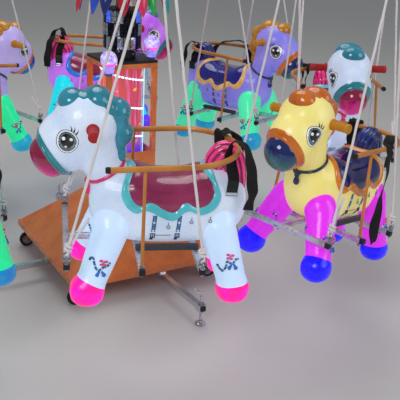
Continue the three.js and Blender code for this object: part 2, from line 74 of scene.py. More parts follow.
ahead = Vector((math.cos(TILT) * math.cos(HEADING), math.cos(TILT) * math.sin(HEADING), -math.sin(TILT)))
right = Vector((math.sin(HEADING), -math.cos(HEADING), 0.0))
upward = right.cross(ahead)
image_x = right * math.cos(ROLL) - upward * math.sin(ROLL)
image_y = right * math.sin(ROLL) + upward * math.cos(ROLL)
camera_data = bpy.data.cameras.new("photo_view")
camera_data.sensor_width = SENSOR_MM
camera_data.lens = FOCAL_PIXELS / IMAGE_PIXELS * SENSOR_MM
camera = bpy.data.objects.new("photo_view", camera_data)
bpy.context.scene.collection.objects.link(camera)
camera.matrix_world = Matrix.Translation(EYE_POINT) @ Matrix(
    (image_x, image_y, -ahead)).transposed().to_4x4()
bpy.context.scene.camera = camera
print("lens", round(camera_data.lens, 1), "mm")

# %% Colours and nodes
MILLIMETRE = 0.001
# A Mix node's colour sockets share names with its number sockets, so they are found by number.
FACTOR, COLOUR_A, COLOUR_B, MIXED = 0, 6, 7, 2


def srgb(code):
    """Linear colour of an sRGB hex code."""
    parts = [int(code[i:i + 2], 16) / 255 for i in (1, 3, 5)]
    linear = [c / 12.92 if c <= 0.04045 else ((c + 0.055) / 1.055) ** 2.4 for c in parts]
    return (*linear, 1.0)


def add(material, kind, sockets=None, **settings):
    """Add one shader node, with its settings and with a value or a link for each socket."""
    made = material.node_tree.nodes.new("ShaderNode" + kind)
    for name, value in settings.items():
        setattr(made, name, value)
    for socket, value in (sockets or {}).items():
        if isinstance(value, bpy.types.NodeSocket):
            material.node_tree.links.new(value, made.inputs[socket])
        else:
            made.inputs[socket].default_value = value
    return made


def begin(name, sockets):
    """A new material and its main shader, with values set on the shader's own sockets."""
    material = bpy.data.materials.new(name)
    material.use_nodes = True
    shader = material.node_tree.nodes["Principled BSDF"]
    for socket, value in sockets.items():
        shader.inputs[socket].default_value = value
    return material, shader


def feed(material, shader, links):
    """Link the outputs of nodes to the main shader's own sockets."""
    for socket, source in links.items():
        material.node_tree.links.new(source, shader.inputs[socket])


def speckle(material, place, size_mm, low, high, detail=3.0, rough=0.55):
    """A noise of one real grain size, stretched between two values, as an output socket."""
    grain = add(material, "TexNoise", {
        "Vector": place, "Scale": 1000.0 / size_mm, "Detail": detail, "Roughness": rough})
    span = add(material, "MapRange", {
        "Value": grain.outputs["Fac"], "From Min": 0.3, "From Max": 0.7, "To Min": low, "To Max": high})
    return span.outputs["Result"]


# %% Floor and lamps
def pale_floor():
    """A wide smooth floor, so pale that coloured light from the ponies shows on it."""
    bm = bmesh.new()
    bmesh.ops.create_grid(bm, x_segments=2, y_segments=2, size=30)
    mesh = bpy.data.meshes.new("floor")
    bm.to_mesh(mesh)
    bm.free()
    floor = bpy.data.objects.new("floor", mesh)
    bpy.context.scene.collection.objects.link(floor)
    paint, shader = begin("pale_matt_paint", {"Base Color": srgb("#D9D8D4"), "Roughness": 0.85})
    where = add(paint, "TexCoord").outputs["Object"]
    feed(paint, shader, {"Roughness": speckle(paint, where, 350, 0.8, 0.9)})
    mesh.materials.append(paint)


RING_MIDDLE = Vector((0, 0, 0.8))


def soft_lamp(name, place, size, power):
    """A round lamp of a size in metres and a power in watts, turned to the middle of the ring."""
    data = bpy.data.lights.new(name, "AREA")
    data.shape = "DISK"
    data.size = size
    data.energy = power
    lamp = bpy.data.objects.new(name, data)
    bpy.context.scene.collection.objects.link(lamp)
    lamp.location = place
    lamp.rotation_euler = (RING_MIDDLE - Vector(place)).to_track_quat("-Z", "Y").to_euler()


pale_floor()
soft_lamp("key", (-4.5, -4.0, 4.5), 3.0, 150)
soft_lamp("fill", (3.5, -4.5, 3.0), 3.5, 55)
soft_lamp("top", (0.5, 1.5, 5.5), 4.0, 90)
world = bpy.data.worlds.new("studio")
world.use_nodes = True
world.node_tree.nodes["Background"].inputs["Color"].default_value = srgb("#E4E8EE")
world.node_tree.nodes["Background"].inputs["Strength"].default_value = 0.30
bpy.context.scene.view_settings.view_transform = "Standard"
bpy.context.scene.world = world

# %% [markdown]
# ## Shape helpers
# Each helper returns a small bmesh in millimetres, made by Blender's own operators where one exists.
# Small parts are then gathered into one piece, each with its own material number.

# %% Primitive forms
ROLLED_EDGE = 2.0


def aligned(start, end):
    """A matrix that stands at start with its Z axis pointing at end."""
    along = Vector(end) - Vector(start)
    return Matrix.Translation(start) @ along.to_track_quat("Z", "Y").to_matrix().to_4x4()


def ball(centre, half, power=2.0, around=32, rings=16):
    """A ball stretched to three half sizes, squarer as the power grows."""
    bm = bmesh.new()
    bmesh.ops.create_uvsphere(bm, u_segments=around, v_segments=rings, radius=1)
    for vert in bm.verts:
        vert.co *= sum(abs(c) ** power for c in vert.co) ** (-1 / power)
    bmesh.ops.scale(bm, vec=half, verts=bm.verts)
    bmesh.ops.translate(bm, vec=centre, verts=bm.verts)
    return bm


def cone(start, end, low_radius, high_radius, sides=32):
    length = (Vector(end) - Vector(start)).length
    bm = bmesh.new()
    bmesh.ops.create_cone(
        bm, cap_ends=True, segments=sides, radius1=low_radius, radius2=high_radius, depth=length,
        matrix=aligned(start, end) @ Matrix.Translation((0, 0, length / 2)))
    return bm


def box(centre, size, edge=0.0):
    bm = bmesh.new()
    bmesh.ops.create_cube(bm, size=1, matrix=Matrix.Translation(centre) @ Matrix.Diagonal((*size, 1)))
    if edge:
        bmesh.ops.bevel(bm, geom=bm.edges[:], offset=edge, offset_type="OFFSET", segments=2,
                        profile=0.5, affect="EDGES", material=-1)
    return bm


def bar(start, end, thickness):
    """A square tube between two points, its edges rounded as on a rolled tube."""
    start, end = Vector(start), Vector(end)
    along = (end - start).normalized()
    side = Vector((0, 0, 1)).cross(along).normalized()
    turn = Matrix((along, side, along.cross(side))).transposed().to_4x4()
    bm = box((0, 0, 0), ((end - start).length, thickness, thickness), ROLLED_EDGE)
    bmesh.ops.transform(bm, matrix=Matrix.Translation((start + end) / 2) @ turn, verts=bm.verts)
    return bm


# %% Turned and skinned forms
def turned(profile, base=(0, 0, 0), axis=(0, 0, 1), steps=40):
    """Spin a line of (radius, height) points about an axis."""
    bm = bmesh.new()
    verts = [bm.verts.new((r, 0, z)) for r, z in profile]
    edges = [bm.edges.new(pair) for pair in zip(verts, verts[1:])]
    bmesh.ops.spin(bm, geom=verts + edges, cent=(0, 0, 0), axis=(0, 0, 1), angle=TURN,
                   steps=steps, use_merge=True)
    bmesh.ops.remove_doubles(bm, verts=bm.verts, dist=1e-4)
    bmesh.ops.recalc_face_normals(bm, faces=bm.faces)
    bmesh.ops.transform(bm, matrix=aligned(base, Vector(base) + Vector(axis)), verts=bm.verts)
    return bm


def skin(rings, loop=False, capped=True):
    """Skin a row of rings of points. It is used where a shape lies on another curved one."""
    bm = bmesh.new()
    rows = [[bm.verts.new(p) for p in ring] for ring in rings]
    pairs = list(zip(rows, rows[1:]))
    if loop:
        pairs.append((rows[-1], rows[0]))
    for low, high in pairs:
        for i in range(len(low)):
            j = (i + 1) % len(low)
            bm.faces.new((low[i], low[j], high[j], high[i]))
    if capped and not loop:
        bm.faces.new(rows[0])
        bm.faces.new(rows[-1])
    bmesh.ops.recalc_face_normals(bm, faces=bm.faces)
    return bm


# %% Curves and tubes
def curve_through(points, count):
    """Points spaced along a smooth curve through a few given ones."""
    points = [Vector(p) for p in points]
    points = [2 * points[0] - points[1], *points, 2 * points[-1] - points[-2]]
    spans = len(points) - 3
    result = []
    for step in range(count):
        at = step / (count - 1) * spans
        i = min(int(at), spans - 1)
        t = at - i
        a, b, c, d = points[i:i + 4]
        result.append(0.5 * (2 * b + (c - a) * t + (2 * a - 5 * b + 4 * c - d) * t * t
                             + (3 * b - 3 * c + d - a) * t ** 3))
    return result


def tube(path, radius, sides, loop=False, shape=None, flat=1.0):
    """Sweep a round or shaped section along a path without letting it twist."""
    path = [Vector(p) for p in path]
    count = len(path)
    ends = [(path[(i + 1) % count] - path[i - 1]) if loop else
            (path[min(i + 1, count - 1)] - path[max(i - 1, 0)]) for i in range(count)]
    tangents = [e.normalized() for e in ends]
    first = tangents[0].orthogonal().normalized()
    if abs(tangents[0].z) < 0.9:
        first = (Vector((0, 0, 1)) - tangents[0] * tangents[0].z).normalized()
    rings, normal, travelled = [], first, 0.0
    for i, (point, tangent) in enumerate(zip(path, tangents)):
        if i:
            travelled += (point - path[i - 1]).length
            normal = (normal - tangent * normal.dot(tangent)).normalized()
        across = tangent.cross(normal)
        size = radius(i / (count - 1)) if callable(radius) else radius
        ring = []
        for k in range(sides):
            angle = TURN * k / sides
            r = size * (shape(angle, travelled) if shape else 1.0)
            ring.append(point + normal * (r * math.cos(angle)) + across * (r * flat * math.sin(angle)))
        rings.append(ring)
    return skin(rings, loop)


def ring_path(centre, radius, normal, count):
    """Points on a circle round a centre, seen along its normal."""
    turn = Vector(normal).to_track_quat("Z", "Y").to_matrix()
    return [Vector(centre) + turn @ Vector((radius * math.cos(TURN * i / count),
                                            radius * math.sin(TURN * i / count), 0))
            for i in range(count)]


# %% Gathering, melting and placing
def gather(parts):
    """Join (bmesh, material number) pairs into one bmesh."""
    whole = bmesh.new()
    for part, number in parts:
        for face in part.faces:
            face.material_index = number
        step = bpy.data.meshes.new("step")
        part.to_mesh(step)
        part.free()
        whole.from_mesh(step)
        bpy.data.meshes.remove(step)
    return whole


def melt(parts, voxel, rounds):
    """Melt closed shapes into one skin, as a blow-moulded shell is, and soften where they meet."""
    whole = gather([(part, 0) for part in parts])
    mesh = bpy.data.meshes.new("melt")
    whole.to_mesh(mesh)
    whole.free()
    lump = bpy.data.objects.new("melt", mesh)
    bpy.context.scene.collection.objects.link(lump)
    grid = lump.modifiers.new("grid", "REMESH")
    grid.mode = "VOXEL"
    grid.voxel_size = voxel
    soften = lump.modifiers.new("soften", "SMOOTH")
    soften.factor = 0.5
    soften.iterations = rounds
    made = bmesh.new()
    made.from_object(lump, bpy.context.evaluated_depsgraph_get())
    bpy.data.objects.remove(lump)
    bpy.data.meshes.remove(mesh)
    return made


def template(bm, sharp=40.0):
    """A finished mesh in millimetres, smooth but for its real edges. It frees the bmesh."""
    mesh = bpy.data.meshes.new("template")
    bm.to_mesh(mesh)
    bm.free()
    mesh.shade_smooth()
    mesh.set_sharp_from_angle(angle=math.radians(sharp))
    return mesh


def show(name, mesh, materials, body, place=Matrix.Identity(4), replaces=()):
    """Put a copy of a template in its place on a body, and remember where each point was drawn."""
    mesh = mesh.copy()
    mesh.name = name
    drawn = mesh.attributes.new("drawn", "FLOAT_VECTOR", "POINT")
    flat = [0.0] * (len(mesh.vertices) * 3)
    mesh.vertices.foreach_get("co", flat)
    drawn.data.foreach_set("vector", [c * 0.001 for c in flat])
    mesh.transform(place @ TO_METRES)
    for material in materials:
        mesh.materials.append(material)
    piece = bpy.data.objects.new(name, mesh)
    bpy.context.scene.collection.objects.link(piece)
    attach(piece, body)
    if replaces:
        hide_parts(*replaces)
    return piece


# %% [markdown]
# ## Finishes of the ponies
# The shells are blow-moulded polyethylene, a soft translucent plastic with a waxy gloss.
# Coloured lights inside make each part glow, so the finish has some emission of its own colour.
# Cloudy patches vary the glow, because the wall is not equally thick everywhere.

# %% Translucent shells
SHELL_ROUGHNESS = 0.28


def moulded(name, colour, cloud, glow, patch_mm=160):
    """Waxy, slightly translucent shell whose glow is cloudy."""
    material, shader = begin(name, {
        "Roughness": SHELL_ROUGHNESS, "IOR": 1.5, "Coat Weight": 0.25, "Coat Roughness": 0.08,
        "Subsurface Weight": 0.12, "Subsurface Radius": (0.02, 0.02, 0.02),
        "Subsurface Scale": 1.0, "Emission Strength": glow})
    where = add(material, "Attribute", attribute_name="drawn").outputs["Vector"]
    clouds = speckle(material, where, patch_mm, 0.0, 1.0, 2.0)
    mix = add(material, "Mix", {FACTOR: clouds, COLOUR_A: srgb(colour), COLOUR_B: srgb(cloud)},
              data_type="RGBA")
    # Handling marks are finer than the glow and only change the gloss.
    marks = speckle(material, where, 14, SHELL_ROUGHNESS - 0.06, SHELL_ROUGHNESS + 0.10)
    bump = add(material, "Bump", {"Height": speckle(material, where, 45, 0.0, 1.0, 2.0),
                                  "Strength": 1.0, "Distance": 0.5 * MILLIMETRE})
    feed(material, shader, {
        "Base Color": mix.outputs[MIXED], "Emission Color": mix.outputs[MIXED],
        "Roughness": marks, "Normal": bump.outputs["Normal"]})
    return material


# %% Gloss lacquers
def lacquered(name, colour, cloud, glow, roughness=0.16, patch_mm=70):
    """Sprayed gloss lacquer over the shell, with pooled darker places."""
    material, shader = begin(name, {
        "Roughness": roughness, "Coat Weight": 0.8, "Coat Roughness": 0.05, "Emission Strength": glow})
    where = add(material, "Attribute", attribute_name="drawn").outputs["Vector"]
    pools = speckle(material, where, patch_mm, 0.0, 1.0)
    mix = add(material, "Mix", {FACTOR: pools, COLOUR_A: srgb(colour), COLOUR_B: srgb(cloud)},
              data_type="RGBA")
    bump = add(material, "Bump", {"Height": speckle(material, where, 9, 0.0, 1.0),
                                  "Strength": 1.0, "Distance": 0.15 * MILLIMETRE})
    feed(material, shader, {
        "Base Color": mix.outputs[MIXED], "Emission Color": mix.outputs[MIXED],
        "Normal": bump.outputs["Normal"]})
    return material


def lamp_graded_lacquer(name, upper, lower, glow):
    """Lacquer that is dark over the nose and bright at the lips, where the lamp inside is near."""
    material, shader = begin(name, {
        "Roughness": 0.07, "Coat Weight": 0.8, "Coat Roughness": 0.04, "Emission Strength": glow})
    where = add(material, "Attribute", attribute_name="drawn").outputs["Vector"]
    # The brightness at the lips is painted light of the lamp inside, in the base colour as well as in the
    # glow.
    # The share runs from the bridge of the nose down to the lips, in metres along the head.
    down = add(material, "VectorMath", {0: where, 1: (0.45, 0.0, -1.0)}, operation="DOT_PRODUCT")
    waves = speckle(material, where, 80, -0.02, 0.02)
    wavy = add(material, "Math", {0: down.outputs["Value"], 1: waves}, operation="ADD")
    share = add(material, "MapRange", {"Value": wavy.outputs[0], "From Min": -0.19, "From Max": -0.11})
    mix = add(material, "Mix", {FACTOR: share.outputs["Result"], COLOUR_A: srgb(upper),
                                COLOUR_B: srgb(lower)}, data_type="RGBA")
    bump = add(material, "Bump", {"Height": speckle(material, where, 9, 0.0, 1.0),
                                  "Strength": 1.0, "Distance": 0.12 * MILLIMETRE})
    feed(material, shader, {
        "Base Color": mix.outputs[MIXED], "Emission Color": mix.outputs[MIXED],
        "Normal": bump.outputs["Normal"]})
    return material


# %% Plain finishes of small parts
def plain(name, colour, roughness, metallic, grain_mm, depth_mm, shade=0.8):
    """A small part's finish: one colour with a finer, darker grain and a slight relief."""
    material, shader = begin(name, {"Metallic": metallic, "Roughness": roughness})
    where = add(material, "TexCoord").outputs["Object"]
    light = srgb(colour)
    dark = (*(c * shade for c in light[:3]), 1.0)
    grain = speckle(material, where, grain_mm, 0.0, 1.0)
    mix = add(material, "Mix", {FACTOR: grain, COLOUR_A: light, COLOUR_B: dark}, data_type="RGBA")
    gloss = speckle(material, where, grain_mm * 3, max(0.02, roughness - 0.07), roughness + 0.12)
    bump = add(material, "Bump", {"Height": grain, "Strength": 1.0, "Distance": depth_mm * MILLIMETRE})
    feed(material, shader, {
        "Base Color": mix.outputs[MIXED], "Roughness": gloss, "Normal": bump.outputs["Normal"]})
    return material


# %% Colours of the eight ponies
# Teal-maned and orange-maned ponies take turns. The lights inside tint each shell its own way.
PONIES = [
    {"set": "teal", "body": "#C6D8F4", "cloud": "#DCE8FA", "leg": "#C8E0FF",
     "hoof": "#FF1478", "tip": "#FF00C8"},
    {"set": "orange", "body": "#F2E27C", "cloud": "#F8EE9C", "leg": "#E02CEC",
     "hoof": "#0800E0", "tip": "#1608FF"},
    {"set": "teal", "body": "#D4E2F6", "cloud": "#C2D4F4", "leg": "#C8E0FF",
     "hoof": "#FF1478", "tip": "#FF00C8"},
    {"set": "orange", "body": "#7C7CF0", "cloud": "#A094F0", "leg": "#4CF0B0",
     "hoof": "#0E74B4", "tip": "#1B96A8",
     "own": {"mane": "mane_gold", "border": "border_gold", "seat": "seat_blue"}},
    {"set": "teal", "body": "#BC50FF", "cloud": "#DC8CFF", "leg": "#10E4F4",
     "hoof": "#4A2CD8", "tip": "#6A3CF0", "own": {"border": "border_blue"}},
    {"set": "orange", "body": "#A79CF0", "cloud": "#C8BCF0", "leg": "#20F0A0",
     "hoof": "#12A0B8", "tip": "#1484B0", "own": {"mane": "mane_gold", "muzzle": "muzzle_blue"}},
    {"set": "teal", "body": "#C6D8F4", "cloud": "#DCE8FA", "leg": "#C8E0FF",
     "hoof": "#FF1478", "tip": "#FF00C8"},
    {"set": "orange", "body": "#98C4F0", "cloud": "#B4D4F4", "leg": "#14EC98",
     "hoof": "#0E80B0", "tip": "#1466B0"},
]
TRIMS = {
    "teal": {
        "mane": lacquered("mane_polyethylene_teal", "#2790A8", "#1B6F86", 0.18, 0.14),
        "band": lacquered("band_lacquer_teal", "#2B93A0", "#1F7F8C", 0.12),
        "muzzle": lamp_graded_lacquer("muzzle_lacquer_wine", "#7A0A38", "#DC148C", 0.34),
        "collar": lacquered("collar_lacquer_pink", "#C2185A", "#D8246E", 0.18),
        "seat": lacquered("saddle_lacquer_wine", "#84184A", "#9A2C5C", 0.12, 0.2),
        "border": lacquered("border_lacquer_aqua", "#5CC8D0", "#40B0BE", 0.25),
        "grip": plain("grip_rubber_red", "#C01C28", 0.5, 0.0, 4.0, 0.2),
    },
    "orange": {
        "mane": lacquered("mane_polyethylene_orange", "#DC7414", "#B4580C", 0.16, 0.14),
        "band": lacquered("band_lacquer_orange", "#E07C1C", "#C86A14", 0.12),
        "muzzle": lamp_graded_lacquer("muzzle_lacquer_navy", "#08205C", "#086A5C", 0.26),
        "collar": lacquered("collar_lacquer_navy", "#143648", "#1C2A5A", 0.05),
        "seat": lacquered("saddle_lacquer_navy", "#101C52", "#14106A", 0.08, 0.2),
        "border": lacquered("border_lacquer_gold", "#E0862A", "#CC741C", 0.15),
        "grip": plain("grip_rubber_yellow", "#E0981E", 0.5, 0.0, 4.0, 0.2),
    },
}
OWN = {
    "seat_blue": lacquered("saddle_lacquer_blue", "#141CA0", "#0E1268", 0.12, 0.15),
    "mane_gold": lacquered("mane_polyethylene_gold", "#D49420", "#A86A14", 0.14, 0.14),
    "border_gold": lacquered("border_lacquer_pale_gold", "#E8A848", "#F4D8A0", 0.2),
    "border_blue": lacquered("border_lacquer_blue", "#2E7AE8", "#2464C8", 0.3),
    "muzzle_blue": lamp_graded_lacquer("muzzle_lacquer_blue", "#0E4C9A", "#1480B8", 0.3),
}
BLACK_GLOSS = lacquered("printed_black", "#0A0B0E", "#050507", 0.0, 0.12)
WHITE_GLOSS = lacquered("printed_white", "#F2F4FA", "#E6EAF4", 0.25, 0.12)
IRIS = lacquered("printed_grey_teal", "#86A2AA", "#3E5660", 0.08, 0.1, 12)

# %% [markdown]
# ## The moulded trunk of a pony
# Barrel, neck and head are one blow-moulded shell. Overlapping balls and cones are melted together
# on a fine grid and softened, which gives the full, seamless roundings that such a shell has.
# The underside is cut flat, because it rests on the steel rails.

# %% Trunk
VOXEL = 11.5
TRUNK_ROUNDS = 5
BARREL_Z = 158
BELLY_Z = 29.0
trunk = melt([
    ball((-132, 0, BARREL_Z), (278, 128, 142), 2.7, 48, 32),
    ball((68, 0, 170), (76, 100, 120), 2.3),
    cone((35, 0, 180), (92, 0, 278), 100, 64),
    cone((88, 0, 266), (138, 0, 372), 64, 86),
    ball((160, 0, 438), (110, 106, 110), 2.05),
    ball((225, 0, 372), (97, 92, 107), 2.0),
], VOXEL, TRUNK_ROUNDS)
# The back dips where a child sits. The dip fades in above the flanks.
DIP_X, DIP_REACH, DIP_DEPTH = -135.0, 105.0, 42.0
DIP_FROM, DIP_FADE = 190, 110
for vert in trunk.verts:
    share = min(max((vert.co.z - DIP_FROM) / DIP_FADE, 0), 1)
    vert.co.z -= DIP_DEPTH * share * math.exp(-((vert.co.x - DIP_X) / DIP_REACH) ** 4)
trunk_tree = BVHTree.FromBMesh(trunk)
bmesh.ops.bisect_plane(trunk, geom=trunk.verts[:] + trunk.edges[:] + trunk.faces[:],
                       plane_co=(0, 0, BELLY_Z), plane_no=(0, 0, -1), clear_outer=True)
bmesh.ops.holes_fill(trunk, edges=[e for e in trunk.edges if e.is_boundary], sides=0)
print("trunk faces", len(trunk.faces))
trunk_mesh = template(trunk, 55)

# %% Places on the shell
def on_trunk(origin, direction, lift):
    """The point of the shell that a ray from inside or outside meets, lifted off it."""
    hit, normal, _, _ = trunk_tree.ray_cast(Vector(origin), Vector(direction).normalized())
    return hit + normal * lift


def on_barrel(x, angle, lift):
    """A point on the barrel, by its place along the body and its angle down from the spine."""
    return on_trunk((x, 0, BARREL_Z), (0, math.sin(angle), math.cos(angle)), lift)


def on_cheek(x, z, side, lift):
    """A point on the side of the head, seen straight from that side and lifted towards it."""
    return on_trunk((x, side * 400, z), (0, -side, 0), 0) + Vector((0, side * lift, 0))


# %% [markdown]
# ## Muzzle, bridle band and collar
# The muzzle is a glossy dome on a slanted plane. Rays sent out in that plane find the edge of the
# shell, so that the dome and the band fit it all round, as they do where the paint line runs.

# %% Muzzle dome
MUZZLE_BASE = Vector((276, 0, 320))
MUZZLE_TILT = math.radians(36)
MUZZLE_DEPTH = 60.0
CHIN_HANG = 4.5
DOME_FULLNESS, DOME_GROWTH = 0.8, 1.02
BAND_WIDTH = 25.0
AROUND = 72
muzzle_out = Vector((math.cos(MUZZLE_TILT), 0, -math.sin(MUZZLE_TILT)))
muzzle_up = Vector((math.sin(MUZZLE_TILT), 0, math.cos(MUZZLE_TILT)))


def muzzle_way(angle):
    """The way out from the axis of the muzzle, at an angle round it from the top."""
    return muzzle_up * math.cos(angle) + Vector((0, math.sin(angle), 0))


WAYS = [muzzle_way(TURN * i / AROUND) for i in range(AROUND)]


def shell_ring(back):
    """Where a plane behind the muzzle's base cuts the shell. It hangs a little below the chin."""
    origin = MUZZLE_BASE - muzzle_out * back
    ring = []
    for i, way in enumerate(WAYS):
        hang = CHIN_HANG - CHIN_HANG * math.cos(TURN * i / AROUND)
        ring.append(on_trunk(origin, way, 0) + way * hang)
    return ring


edge_ring = shell_ring(0)
back_ring = shell_ring(BAND_WIDTH)
dome_rings = []
for step in range(15):
    t = math.radians(6 * step - 0.5) if step else 0.0
    spread = math.cos(t) ** DOME_FULLNESS * DOME_GROWTH
    rise = MUZZLE_DEPTH * math.sin(t)
    dome_rings.append([MUZZLE_BASE + (p - MUZZLE_BASE) * spread + muzzle_out * rise for p in edge_ring])
dome = skin(dome_rings)
dome_tree = BVHTree.FromBMesh(dome)


def on_dome(angle, out, lift):
    """A point on the muzzle: angle round it from the top, and how far out from its base."""
    way = muzzle_way(angle) * math.cos(out) + muzzle_out * math.sin(out)
    hit, normal, _, _ = dome_tree.ray_cast(MUZZLE_BASE, way)
    return hit + normal * lift


# %% Bridle band
# The profile goes from the muzzle's edge back to the shell, as shares of the band's width and lifts.
BAND_PROFILE = [(-0.06, -4), (-0.05, 2.5), (0.02, 4.6), (0.16, 5.2), (0.26, 4.2), (0.31, 2.2), (0.36, 2.0),
                (0.42, 4.2), (0.55, 6.0), (0.75, 6.2), (0.9, 5.0), (1.0, 1.8), (1.02, -4)]
GROOVE = 0.335
band_rings = []
band_line = []
for edge, back, way in zip(edge_ring, back_ring, WAYS):
    band_rings.append([edge.lerp(back, share) + way * lift for share, lift in BAND_PROFILE])
    band_line.append(edge.lerp(back, GROOVE) + way * 2.2)
band_parts = [(skin(band_rings, loop=True), 0), (tube(band_line, 1.5, 6, loop=True), 0)]
band_mesh = template(gather(band_parts), 50)
print("bridle band faces", len(band_mesh.polygons))

# %% Nostrils and mouth
NOSTRIL_ANGLE, NOSTRIL_OUT = 1.27, 0.40
muzzle_parts = [(dome, 0)]
for side in (-1, 1):
    rings = []
    for share in (1.0, 0.8, 0.4, 0.02):
        # The rim lies on the dome and the rest stands a little proud of it.
        lift = 1.6 if share < 1.0 else 0.0
        rings.append([on_dome(side * (NOSTRIL_ANGLE + 0.15 * share * math.cos(a)),
                              NOSTRIL_OUT + 0.16 * share * math.sin(a), lift)
                      for a in (TURN * k / 24 for k in range(24))])
    muzzle_parts.append((skin(rings), 1))
mouth = []
for step in range(41):
    across = step / 20 - 1
    mouth.append(on_dome(math.pi + 0.95 * across, 0.70 - 0.58 * abs(across) ** 1.4, 0.3))
muzzle_parts.append((tube(mouth, 1.3, 8), 1))
muzzle_mesh = template(gather(muzzle_parts), 60)
print("muzzle faces", len(muzzle_mesh.polygons))

# %% Collar and pendant
COLLAR_AT = Vector((93, 0, 267))
COLLAR_RADIUS = 6.5
PENDANT_PROFILE = [(0, 2), (6, 0), (7, -6), (4.5, -11), (8, -20), (12, -31), (13, -38), (10, -46),
                   (4, -51), (0, -52)]
collar_front = Vector((0.86, 0, -0.51)).normalized()
collar_path = []
for i in range(64):
    angle = TURN * i / 64
    way = collar_front * math.cos(angle) + Vector((0, math.sin(angle), 0))
    collar_path.append(on_trunk(COLLAR_AT, way, 2.0))
throat = collar_path[0] + Vector((6, 0, -4))
collar_parts = [(tube(collar_path, COLLAR_RADIUS, 10, loop=True), 0),
                (turned(PENDANT_PROFILE, throat, (0.10, 0, 1.0), 24), 0)]
for side in (-1, 1):
    collar_parts.append((ball(throat + Vector((2, side * 10, 1)), (5, 10, 7), 2.0, 16, 10), 0))
    collar_parts.append((ball(throat + Vector((1, side * 7, -9)), (3.5, 5, 9), 2.0, 14, 8), 0))
collar_parts.append((ball(throat + Vector((4, 0, 1)), (5, 5, 6), 2.0, 14, 8), 0))
collar_mesh = template(gather(collar_parts))
print("collar faces", len(collar_mesh.polygons))

# %% [markdown]
# ## Mane and tail
# The mane is a row of swollen lobes that sit over the crown and down the neck like a wig.
# Balls melted on a finer grid keep the soft grooves between the lobes.
# The tail is one thick lock that hugs the rump. It is swept along a curve, with a section of eleven
# strands, so the combed grooves are real relief.

# %% Mane
MANE_VOXEL, MANE_ROUNDS = 6.0, 2
mane_mesh = template(melt([
    ball((206, 0, 511), (46, 56, 45)),
    ball((168, 0, 522), (30, 58, 27)),
    ball((124, 0, 521), (49, 66, 45)),
    ball((86, 0, 500), (34, 66, 38)),
    ball((55, 0, 478), (45, 58, 48)),
    ball((46, 0, 442), (32, 52, 30)),
    ball((37, 0, 405), (39, 52, 43)),
    ball((46, 0, 368), (24, 44, 22)),
    ball((43, 0, 336), (24, 40, 34)),
], MANE_VOXEL, MANE_ROUNDS), 60)
print("mane faces", len(mane_mesh.polygons))

# %% Tail
TAIL_LINE = [(-284, 0, 284), (-296, 0, 312), (-318, 0, 334), (-341, 0, 325), (-354, 0, 290),
             (-363, 0, 252), (-369, 0, 216), (-372, 0, 184), (-373, 0, 154)]
TAIL_RADII = [36, 44, 48, 50, 49, 45, 39, 28, 6]


def tail_radius(t):
    at = t * (len(TAIL_RADII) - 1)
    i = min(int(at), len(TAIL_RADII) - 2)
    share = at - i
    share = share * share * (3 - 2 * share)
    return TAIL_RADII[i] * (1 - share) + TAIL_RADII[i + 1] * share


STRANDS = 11


def strands(angle, _):
    return 1.0 - 0.10 * abs(math.sin(STRANDS / 2 * angle)) ** 6


TAIL_SIDES = 88
tail = tube(curve_through(TAIL_LINE, 48), tail_radius, TAIL_SIDES, shape=strands, flat=0.94)
comb = tail.verts.layers.float.new("comb")
for i, vert in enumerate(tail.verts):
    vert[comb] = 0.5 - 0.5 * math.cos(STRANDS * TURN * (i % TAIL_SIDES) / TAIL_SIDES)
tail_mesh = template(tail, 75)
print("tail faces", len(tail_mesh.polygons))


# %% Combed lacquer
def combed(name, light, dark, glow):
    """Lacquer that is light on the strands and dark in the grooves between them, with uneven edges."""
    material, shader = begin(name, {
        "Roughness": 0.16, "Coat Weight": 0.8, "Coat Roughness": 0.05, "Emission Strength": glow})
    groove = add(material, "Attribute", attribute_name="comb").outputs["Fac"]
    where = add(material, "Attribute", attribute_name="drawn").outputs["Vector"]
    uneven = speckle(material, where, 60, -0.3, 0.3)
    streak = add(material, "Math", {0: groove, 1: uneven}, operation="ADD")
    edge = add(material, "MapRange", {"Value": streak.outputs[0], "From Min": 0.35, "From Max": 0.75})
    mix = add(material, "Mix", {FACTOR: edge.outputs["Result"], COLOUR_A: srgb(light),
                                COLOUR_B: srgb(dark)}, data_type="RGBA")
    bump = add(material, "Bump", {"Height": groove, "Strength": 1.0, "Distance": 0.6 * MILLIMETRE})
    feed(material, shader, {
        "Base Color": mix.outputs[MIXED], "Emission Color": mix.outputs[MIXED],
        "Normal": bump.outputs["Normal"]})
    return material


TRIMS["teal"]["tail"] = combed("tail_lacquer_pink", "#F22C86", "#7E1240", 0.30)
TRIMS["orange"]["tail"] = combed("tail_lacquer_navy", "#1C3494", "#0A1248", 0.10)

# %% [markdown]
# ## Legs and hooves
# Each leg is a separate moulding with its own lamp, so it has a round shoulder that stands a little
# proud of the barrel, and a crisp line where the two meet. The hoof is the same moulding in another
# colour. Its upper edge is a straight cut across the leg.

# %% Legs
LEG_ROUNDS = 3
leg_parts = []
for side in (-1, 1):
    leg_parts += [
        ball((72, side * 80, 100), (68, 62, 70)),
        cone((68, side * 87, 98), (136, side * 155, -66), 64, 51),
        ball((145, side * 162, -84), (54, 52, 50), 2.1),
        ball((153, side * 165, -104), (61, 58, 57), 2.3),
        ball((-298, side * 78, 116), (66, 51, 66)),
        cone((-298, side * 80, 110), (-361, side * 108, -104), 64, 54),
        ball((-365, side * 110, -120), (58, 54, 54), 2.1),
        ball((-368, side * 112, -139), (62, 58, 55), 2.3),
    ]
legs = melt(leg_parts, VOXEL, LEG_ROUNDS)
legs_tree = BVHTree.FromBMesh(legs)
